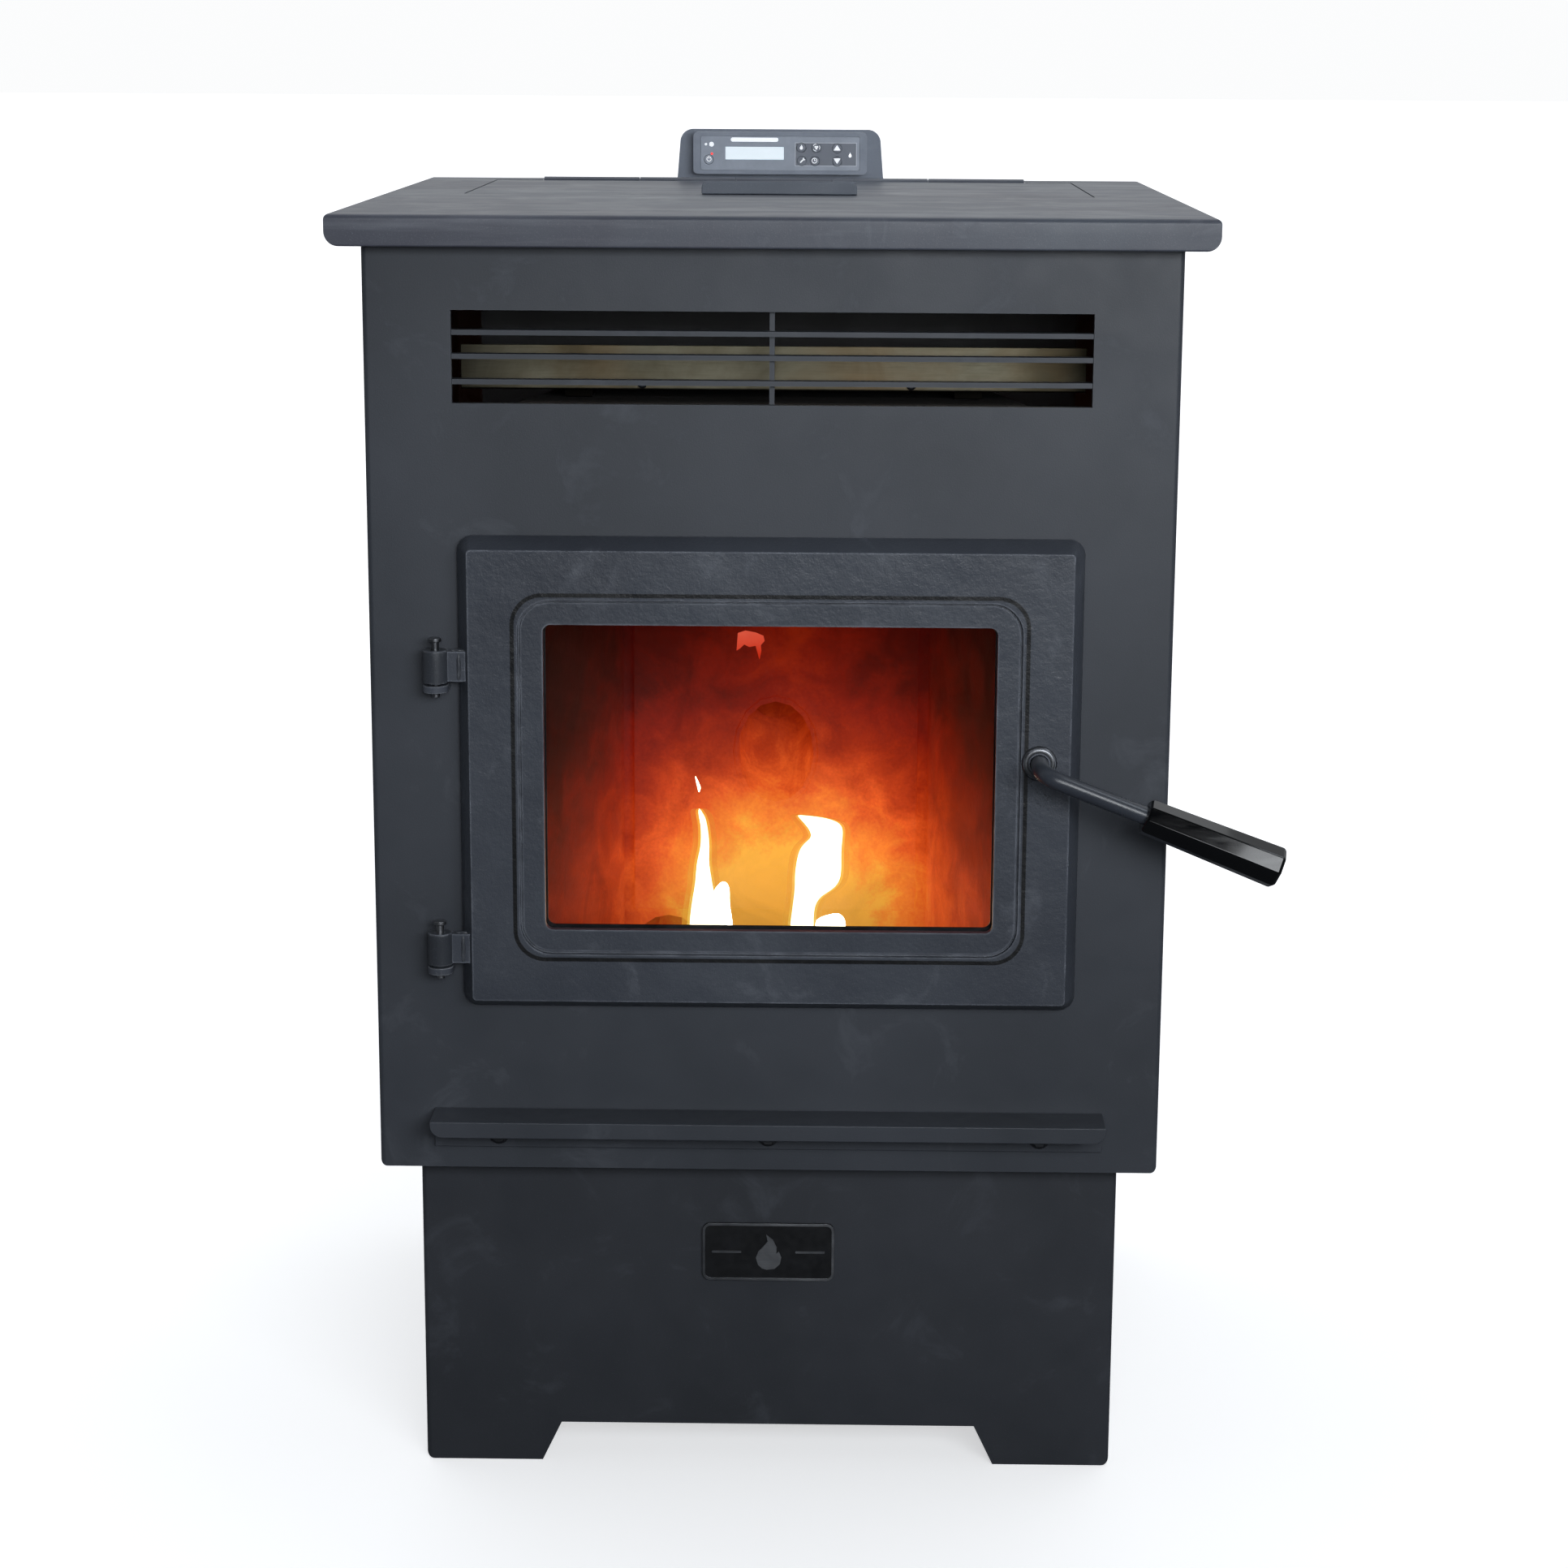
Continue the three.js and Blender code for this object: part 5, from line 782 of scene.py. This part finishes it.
def hex_head(bm, origin, axis, across=8.0, height=4.0, washer=5.6):
    """A hexagon head with a washer face; sizes in millimetres."""
    turned(bm, origin, axis, [(0, washer), (0.8, washer), (1.3, washer * 0.82)], 20)
    corner = across / math.sqrt(3)
    turned(bm, origin, axis, [(1.0, corner), (height - 0.6, corner), (height, corner * 0.86)], 6)


def pan_head(bm, origin, axis, radius=4.0, height=2.4):
    """A round head with a thin raised cross on its top; sizes in millimetres."""
    u, v = cross_axes(axis)
    profile = [(0, 1.0), (0.25, 1.0), (0.6, 0.93), (0.86, 0.72), (1.0, 0.42)]
    turned(bm, origin, axis, [(a * height, r * radius) for a, r in profile], 20)
    for along, sideways in ((u, v), (v, u)):
        low = origin + axis * (height - 0.05) * MM
        corners = []
        for a, b in ((1, 1), (-1, 1), (-1, -1), (1, -1)):
            corners.append(low + along * a * 0.5 * radius * MM + sideways * b * 0.12 * radius * MM)
        rings(bm, [corners, [c + axis * 0.12 * MM for c in corners]])


def fasteners(name, places, axis, kind=hex_head, **sizes):
    bm = bmesh.new()
    for place in places:
        kind(bm, place, axis, **sizes)
    piece(name, bm, dark_steel, "cabinet", "dark_steel", smooth=False, bevel=0.2 * MM)


shelf_low, shelf_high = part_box("ash_shelf")
shield_low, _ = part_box("heat_shield")
back_low, back_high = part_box("back_panel")
flue_low, flue_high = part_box("flue_outlet")
intake_low, intake_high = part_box("air_intake")
inlet_low, inlet_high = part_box("power_inlet")

# Under the shelf's lip, on the shelf's back flange
shelf_bolts = [Vector((MIDDLE_X + x * MM, shelf_high.y - 3 * MM, shelf_low.z + 10 * MM))
               for x in (-196, 0, 197)]
fasteners("shelf_bolts", shelf_bolts, -BACK, across=10, height=5, washer=7.5)
shield_screws = [Vector((MIDDLE_X + x * MM, shield_low.y, shield_low.z + 10.5 * MM)) for x in (-93, 98)]
fasteners("shield_screws", shield_screws, -BACK, kind=pan_head, radius=3.4)

SCREW_INSET = 11 * MM
SCREW_FIRST, SCREW_STEP = 30 * MM, 124 * MM
back_screws = [Vector((x, back_high.y, back_low.z + SCREW_FIRST + i * SCREW_STEP))
               for x in (back_low.x + SCREW_INSET, back_high.x - SCREW_INSET) for i in range(6)]
back_screws += [Vector((MIDDLE_X + x * MM, back_high.y, back_high.z - 12 * MM)) for x in (-140, 0, 140)]
fasteners("back_screws", back_screws, BACK, across=6.5, height=3.4, washer=4.6)


def flange_screws(name, low, high, count, out):
    """Screws round a pipe's flange, on its back face."""
    centre = (low + high) / 2
    radius = (high.z - low.z) / 2 - 8 * MM
    y = back_high.y + 3.3 * MM
    places = []
    for i in range(count):
        turn = 2 * math.pi * (i + out) / count
        places.append(Vector((centre.x + radius * math.cos(turn), y, centre.z + radius * math.sin(turn))))
    fasteners(name, places, BACK, across=6, height=3, washer=4.2)


flange_screws("flue_screws", flue_low, flue_high, 4, 0.5)
flange_screws("intake_screws", intake_low, intake_high, 3, 0.25)
inlet_middle = (inlet_low + inlet_high) / 2
inlet_screws = [Vector((inlet_middle.x + x * MM, inlet_high.y, inlet_middle.z)) for x in (-18.5, 18.5)]
fasteners("inlet_screws", inlet_screws, BACK, kind=pan_head, radius=2.6, height=1.6)
side_low, side_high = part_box("right_side_panel")
for name, x, out in (("side_screws_left", back_low.x, -RIGHT), ("side_screws_right", back_high.x, RIGHT)):
    places = [Vector((x, y, z)) for y in (side_low.y + 12 * MM, side_high.y - 12 * MM)
              for z in (back_low.z + 30 * MM, (back_low.z + back_high.z) / 2, back_high.z - 60 * MM)]
    fasteners(name, places, out, kind=pan_head, radius=3.6, height=1.8)


# ---- Badge: plain, with a raised border and a flame ----

def make_badge():
    low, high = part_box("badge_plate")
    centre = (low + high) / 2
    width, height = high.x - low.x, high.z - low.z
    origin = Vector((centre.x, low.y, centre.z))
    bm = bmesh.new()
    outer = rounded(width - 0.2 * MM, height - 0.2 * MM, 6 * MM)
    inner = rounded(width - 4.2 * MM, height - 4.2 * MM, 4 * MM)
    loops = [[origin + RIGHT * a + UP * b - BACK * out for a, b in outline]
             for outline, out in ((outer, 0), (outer, EMBOSS), (inner, EMBOSS), (inner, 0))]
    rings(bm, loops, capped=False)
    piece("badge_border", bm, steel, "cabinet", "bright_steel", smooth=False, bevel=0.15 * MM)
    bm = bmesh.new()
    slab(bm, [(a * 1.15 * MM, b * 1.15 * MM) for a, b in FLAME_OUTLINE], origin, RIGHT, UP, EMBOSS)
    for side in (-1, 1):
        bar = [(side * 31 * MM + a, b) for a, b in rounded(22 * MM, 1.6 * MM, 0.7 * MM, 3)]
        slab(bm, bar, origin, RIGHT, UP, EMBOSS)
    piece("badge_emblem", bm, steel, "cabinet", "bright_steel", smooth=False)


EMBOSS = 0.5 * MM
FLAME_OUTLINE = [(-1, -12), (4, -11.4), (7.6, -8), (8.4, -3.6), (6.8, 0.6), (5.2, -1), (5.4, 3.4), (3, 8.4),
                 (-1.4, 12), (-0.4, 7.4), (-3, 4), (-6.4, 0.4), (-8, -4), (-6.6, -8.6), (-4, -11.2)]
make_badge()


# ---- Control panel print ----

overlay_low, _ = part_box("controller_overlay")
PRINT = 0.06 * MM


def print_at(name, x, z, outlines, look=self_lit_print, body="cabinet"):
    """Flat printed shapes on the panel; outlines in millimetres about (x, z) from the datum."""
    bm = bmesh.new()
    origin = Vector((MIDDLE_X + x * MM, overlay_low.y, z * MM))
    for outline in outlines:
        slab(bm, [(a * MM, b * MM) for a, b in outline], origin, RIGHT, UP, PRINT)
    piece(name, bm, look, body, "panel_plastic", smooth=False)


def disc(x, z, radius, count=14):
    turns = [2 * math.pi * i / count for i in range(count)]
    return [(x + radius * math.cos(turn), z + radius * math.sin(turn)) for turn in turns]


def arc(radius, width, start, end, steps=12):
    """A curved bar about the origin, between two angles in degrees."""
    turns = [math.radians(start + (end - start) * i / steps) for i in range(steps + 1)]
    outer = [(radius * math.cos(turn), radius * math.sin(turn)) for turn in turns]
    radius -= width
    return outer + [(radius * math.cos(turn), radius * math.sin(turn)) for turn in reversed(turns)]


def make_prints():
    small_flame = [(a * 0.17, b * 0.17) for a, b in FLAME_OUTLINE]
    print_at("flame_mark", 14.4, 957.9, [small_flame], body="flame_key")
    blades = [disc(0.9 * math.cos(t), 0.9 * math.sin(t), 0.85, 8) for t in (0.5, 2.6, 4.7)]
    air = [arc(3.2, 0.5, a, a + 60, 5) for a in (-30, 90, 210)]
    print_at("fan_mark", 27.2, 957.7, blades + air, body="fan_key")
    wrench = [(-2.2, -1.5), (-1.5, -2.2), (1.0, 0.3), (1.9, 0.1), (2.5, 0.9), (1.7, 0.9), (1.2, 1.5),
              (1.3, 2.3), (0.3, 1.8), (0.3, 1.0)]
    print_at("setup_mark", 15.4, 946.8, [wrench], body="setup_key")
    clock = [arc(2.3, 0.5, 0, 180), arc(2.3, 0.5, 180, 360),
             [(-0.2, -0.2), (0.2, -0.2), (0.2, 1.5), (-0.2, 1.5)],
             [(-0.2, -0.2), (1.2, -0.2), (1.2, 0.2), (-0.2, 0.2)]]
    print_at("clock_mark", 25.7, 946.7, clock, body="clock_key")
    print_at("up_mark", 44.8, 957.4, [[(-3, -2.1), (3, -2.1), (0, 2.4)]], body="up_key")
    print_at("down_mark", 44.9, 946.5, [[(-3, 2.1), (0, -2.4), (3, 2.1)]], body="down_key")
    power = [arc(2.1, 0.55, 115, 425, 16), [(-0.3, 0.3), (0.3, 0.3), (0.3, 2.6), (-0.3, 2.6)]]
    print_at("power_mark", -64, 947.6, power, body="power_key")
    heat = [disc(0, -0.6, 1.3), [(-1.2, -0.2), (1.2, -0.2), (0, 2.6)]]
    print_at("heat_mark", 55.9, 951.2, heat)
    print_at("fire_marks", -64, 959.9, [disc(-2.6, 0, 1.1), disc(2.2, 0, 2.0)])
    print_at("panel_strip", -25.3, 963.9, [rounded(40.3, 3.4, 1.6)])
    led = Look("red_lamp", Base_Color=srgb(200, 20, 16), Roughness=0.25, Emission_Color=srgb(255, 40, 30),
               Emission_Strength=1.4)
    led.bumps((led.noise(800, 2), 0.00002))
    print_at("fire_lamp", -61.5, 952, [disc(0, 0, 1.0)], look=led)


make_prints()


# ---- Fire ----

def tongue(bm, rows, grow=0.0):
    """One flame tongue from (z, left x, right x) rows, base to tip, in millimetres from the datum."""
    loops = []
    for z, left, right in rows:
        half = (right - left) / 2 + grow
        drift = 2.2 * math.sin(z * 0.07)
        thick = min(0.62, 12 / max(half, 0.1))
        centre = at((left + right) / 2, FLAME_Y + drift, z)
        loops.append(circle(centre, RIGHT, BACK, half * MM, 20, thick))
    rings(bm, loops)


FLAME_Y = 240
WALL_FACE_Y = 277.2
FIRE_LIGHT = (1.0, 0.16, 0.014)
FIRE_LIGHT_RADIUS = 22 * MM
WALL_GLOW_OUTLINE = [(-10, 6), (-4, 8), (4, 6.5), (10, 4), (11, 0), (8, -3.5), (8.5, -8), (7, -15), (5, -8), (4, -4),
         (-1, -5), (-5, -3), (-8, -6), (-11, -8), (-10.5, -1)]
LEFT_FLAME = [
    [(334, -62, -42), (350, -66, -36), (365, -67, -34), (381, -65.5, -44), (396, -62.7, -48), (404, -61.6, -49),
     (417, -60.9, -51.3), (425, -59, -51), (432.5, -57.4, -50.9), (440, -57.3, -51.4), (448, -57.6, -52.6),
     (454, -59, -54), (458, -59.6, -56.5), (461, -59.2, -58.6)],
    [(340, -48, -33), (365, -50, -31), (381, -51, -35), (390, -50, -35), (396, -47, -35), (400, -44, -36),
     (402.5, -41, -38.5)],
    [(474, -59.4, -58.8), (477, -60, -57.6), (480, -60.6, -58.4), (484, -61.6, -60.4), (487, -62, -61.6)],
]
RIGHT_FLAME = [
    [(334, 18, 30), (350, 12, 33), (365.5, 12.3, 31), (378, 14, 31), (386, 15, 33), (392, 15.6, 37),
     (397, 16, 46), (403, 16.2, 51), (410, 16, 52.6), (420, 17.4, 52.6), (428, 18.8, 52.4), (434, 22.5, 52.8),
     (438.5, 29, 53.2), (443, 28.4, 53.5), (447.5, 25.6, 53.2), (451, 22.4, 50), (453.6, 20, 42),
     (455.4, 18.4, 29), (456.4, 18.2, 20)],
    [(345, 33, 54), (366, 32, 57), (372, 32, 56), (375, 40, 54), (377, 47, 51)],
]

flame_core = glowing("flame_core", (1, 0.93, 0.72, 1), (1, 0.86, 0.55, 1), 0.40, 0.46, 16, 12)
flame_fringe = glowing("flame_fringe", (1, 0.7, 0.1, 1), (1, 0.42, 0.04, 1), 0.36, 0.47, 1.2, 1.0)
flame_fringe.set(Alpha=0.7)
flame_halo = glowing("flame_halo", (1, 0.5, 0.05, 1), (1, 0.26, 0.03, 1), 0.36, 0.47, 1.1, 0.8)
flame_halo.set(Alpha=0.3)
# Painted light: a red glowing patch on the back wall
wall_glow = glowing("wall_glow", (1, 0.045, 0.012, 1), (1, 0.13, 0.07, 1), 0.575, 0.596, 0.7, 1.0)


def make_fire():
    for name, tongues in (("left_flame", LEFT_FLAME), ("right_flame", RIGHT_FLAME)):
        bm = bmesh.new()
        for rows in tongues:
            tongue(bm, rows)
        piece(name, bm, flame_core, "cabinet", subdivide=1)
        for part, grow, look in (("_fringe", 2.2, flame_fringe), ("_glow", 6.5, flame_halo)):
            bm = bmesh.new()
            tongue(bm, tongues[0], grow)
            piece(name + part, bm, look, "cabinet", subdivide=1)
    bm = bmesh.new()
    # Painted light: the glowing patch is laid flat on the back wall's face
    slab(bm, [(a * MM, b * MM) for a, b in WALL_GLOW_OUTLINE], at(-20, WALL_FACE_Y, 588), RIGHT, UP, 1.2 * MM)
    piece("painted_wall_glow", bm, wall_glow, "cabinet", bevel=0.3 * MM)
    lights = [(-48, FLAME_Y - 6, 392, 1.0), (40, FLAME_Y - 6, 402, 2.2), (0, FLAME_Y - 30, 380, 0.7)]
    for i, (x, y, z, watts) in enumerate(lights):
        data = bpy.data.lights.new(f"fire_light_{i}", "POINT")
        data.energy = watts
        data.color = FIRE_LIGHT
        data.shadow_soft_size = FIRE_LIGHT_RADIUS
        light = bpy.data.objects.new(data.name, data)
        light.location = at(x, y, z)
        light.visible_glossy = False
        bpy.context.scene.collection.objects.link(light)


PELLET_RADIUS = 3.0 * MM
PELLET_LENGTHS = (9, 22)
PELLET_ROUNDING = 0.6 * MM


def rod_heap(name, count, place, look, seed):
    """Short round pellets lying at random; place(random) gives each one's middle."""
    rng = random.Random(seed)
    bm = bmesh.new()
    for _ in range(count):
        middle = place(rng)
        turn = rng.uniform(0, math.pi)
        tilt = rng.uniform(-0.35, 0.35)
        along = Vector((math.cos(turn) * math.cos(tilt), math.sin(turn) * math.cos(tilt), math.sin(tilt)))
        half = rng.uniform(*PELLET_LENGTHS) / 2 * MM
        u, v = cross_axes(along)
        full = half - PELLET_ROUNDING
        stations = [(-half, 0.8), (-full, 1), (full, 1), (half, 0.8)]
        rings(bm, [circle(middle + along * s, u, v, PELLET_RADIUS * k, 8) for s, k in stations])
    piece(name, bm, look, "cabinet", smooth=False)


def swell(x, y, seed, lump):
    """The broad rise and fall of a heap's top, with its lumps' height in millimetres."""
    return noise.noise(Vector((x * 38, y * 38, seed))) * lump * MM


def mound(name, low, high, top, look, seed, lump, cells=24):
    """A closed lumpy bed that fills a box up to about the given height."""
    bm = bmesh.new()
    grid = []
    for j in range(cells + 1):
        row = []
        for i in range(cells + 1):
            x = low.x + (high.x - low.x) * i / cells
            y = low.y + (high.y - low.y) * j / cells
            rise = swell(x, y, seed, lump)
            rise += noise.noise(Vector((x * 160, y * 160, seed + 5))) * 0.25 * lump * MM
            row.append(bm.verts.new((x, y, top + rise)))
        grid.append(row)
    for a, b in zip(grid, grid[1:]):
        for i in range(cells):
            bm.faces.new((a[i], a[i + 1], b[i + 1], b[i]))
    rim = grid[0] + [r[-1] for r in grid[1:]] + grid[-1][-2::-1] + [r[0] for r in grid[-2:0:-1]]
    foot = [bm.verts.new((v.co.x, v.co.y, low.z)) for v in rim]
    for i in range(len(rim)):
        j = (i + 1) % len(rim)
        bm.faces.new((rim[i], foot[i], foot[j], rim[j]))
    bm.faces.new(foot)
    piece(name, bm, look, "cabinet")


def anywhere(rng, low, high):
    """A random place on a heap, with room for half a pellet round it."""
    return (rng.uniform(low.x + PELLET_ROOM, high.x - PELLET_ROOM),
            rng.uniform(low.y + PELLET_ROOM, high.y - PELLET_ROOM))


PELLET_ROOM = 12 * MM
make_fire()

pot_low, pot_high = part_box("burn_pot")
POT_WALL = 6 * MM
EMBER_LEVEL = 20
ember_low = pot_low + Vector((POT_WALL, POT_WALL, POT_WALL))
ember_high = Vector((pot_high.x - POT_WALL, pot_high.y - POT_WALL, 0))
mound("ember_bed", ember_low, ember_high, pot_low.z + EMBER_LEVEL * MM, embers, 2, lump=7)


def ember_place(rng):
    x, y = anywhere(rng, ember_low, ember_high)
    return Vector((x, y, pot_low.z + rng.uniform(EMBER_LEVEL, EMBER_LEVEL + 7) * MM))


rod_heap("burning_pellets", 70, ember_place, embers, 5)

pan_low, pan_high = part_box("ash_pan")
PAN_WALL = 2.6 * MM
PAN_LIP = 10 * MM
ASH_LEVEL = 12 * MM
ash_low = pan_low + Vector((PAN_WALL, PAN_LIP + PAN_WALL, PAN_WALL))
ash_high = Vector((pan_high.x - PAN_WALL, pan_high.y - PAN_WALL, 0))
mound("ash_heap", ash_low, ash_high, pan_low.z + ASH_LEVEL, ash, 8, lump=6)

seal_low, seal_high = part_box("lid_seal")
SEAL_GAP = 3 * MM
FUEL_LEVEL = TOP_Z - 105 * MM
FUEL_SEED, FUEL_LUMP = 4, 14
fuel_low = Vector((seal_low.x + SEAL_GAP, seal_low.y + SEAL_GAP, TOP_Z - 165 * MM))
fuel_high = Vector((seal_high.x - SEAL_GAP, seal_high.y - SEAL_GAP, 0))
mound("pellet_bed", fuel_low, fuel_high, FUEL_LEVEL, wood, FUEL_SEED, FUEL_LUMP, cells=40)


def fuel_place(rng):
    x, y = anywhere(rng, fuel_low, fuel_high)
    rise = swell(x, y, FUEL_SEED, FUEL_LUMP)
    return Vector((x, y, FUEL_LEVEL + rise + rng.uniform(0, 4) * MM))


rod_heap("pellets", 900, fuel_place, wood, 6)


# ---- Stage and light ----

FLOOR_NEAR, FLOOR_FAR = 0.6, 1.0
FLOOR_HALF = 60


def floor_look():
    """Pale to the eye, and duller as a source of bounced light."""
    look = Look("floor", Roughness=0.9, Specular_IOR_Level=0.1)
    far = look.add("VectorMath", (0, look.place), operation="LENGTH").outputs["Value"]
    seen = look.add("LightPath").outputs["Is Camera Ray"]
    pale = look.mix(look.noise(0.6, 2), srgb(240, 241, 242), srgb(246, 247, 248))
    glow = look.times(seen, look.span(far, 0.5, 3.0, FLOOR_NEAR, FLOOR_FAR))
    return look.set(Base_Color=look.mix(seen, srgb(104, 106, 110), pale),
                    Emission_Color=(0.98, 0.985, 1, 1), Emission_Strength=glow)


def make_stage():
    bm = bmesh.new()
    corners = [bm.verts.new((x * FLOOR_HALF, y * FLOOR_HALF, 0))
               for x, y in ((-1, -1), (1, -1), (1, 1), (-1, 1))]
    bm.faces.new(corners)
    mesh = bpy.data.meshes.new("floor")
    bm.to_mesh(mesh)
    bm.free()
    mesh.materials.append(floor_look().material)
    floor = bpy.data.objects.new("floor", mesh)
    bpy.context.scene.collection.objects.link(floor)


def softbox(name, place, aim, width, height, watts, colour, spread=180):
    """A rectangular lamp at a place, facing another; the spread is in degrees."""
    data = bpy.data.lights.new(name, "AREA")
    data.shape = "RECTANGLE"
    data.size = width
    data.size_y = height
    data.energy = watts
    data.color = colour
    data.spread = math.radians(spread)
    light = bpy.data.objects.new(name, data)
    light.location = place
    light.rotation_euler = (Vector(aim) - Vector(place)).to_track_quat("-Z", "Y").to_euler()
    bpy.context.scene.collection.objects.link(light)
    return light


WORLD_FRONT, WORLD_BACK = 0.03, 0.7


def make_world():
    """Pale all round to the eye; for light, brighter behind than in front."""
    world = bpy.data.worlds.new("studio")
    bpy.context.scene.world = world
    world.use_nodes = True
    tree = world.node_tree
    tree.nodes.clear()
    coords = tree.nodes.new("ShaderNodeTexCoord")
    split = tree.nodes.new("ShaderNodeSeparateXYZ")
    tree.links.new(coords.outputs["Generated"], split.inputs[0])
    share = tree.nodes.new("ShaderNodeMapRange")
    for socket, value in (("From Min", -0.5), ("From Max", 0.6), ("To Min", WORLD_FRONT),
                          ("To Max", WORLD_BACK)):
        share.inputs[socket].default_value = value
    tree.links.new(split.outputs["Y"], share.inputs["Value"])
    lit = tree.nodes.new("ShaderNodeBackground")
    lit.inputs["Color"].default_value = (0.94, 0.97, 1.0, 1)
    tree.links.new(share.outputs[0], lit.inputs["Strength"])
    seen = tree.nodes.new("ShaderNodeBackground")
    seen.inputs["Color"].default_value = (0.97, 0.975, 0.98, 1)
    seen.inputs["Strength"].default_value = 1.0
    path = tree.nodes.new("ShaderNodeLightPath")
    mix = tree.nodes.new("ShaderNodeMixShader")
    tree.links.new(path.outputs["Is Camera Ray"], mix.inputs[0])
    tree.links.new(lit.outputs[0], mix.inputs[1])
    tree.links.new(seen.outputs[0], mix.inputs[2])
    out = tree.nodes.new("ShaderNodeOutputWorld")
    tree.links.new(mix.outputs[0], out.inputs[0])


make_stage()
make_world()
softbox("key", at(700, -2400, 1350), at(30, 0, 800), 2.0, 0.8, 10.2, (0.93, 0.965, 1.0), 80)
# A strip that shows only in the gloss of the top and the handle
gloss = softbox("gloss", at(1470, -425, 2316), at(300, -38, 490), 0.8, 0.3, 5, (0.86, 0.93, 1.0))
gloss.visible_diffuse = False
softbox("overhead", at(0, 1200, 3000), at(0, 300, 900), 3.0, 2.0, 14, (0.95, 0.97, 1.0))
bpy.context.scene.view_settings.view_transform = "Standard"
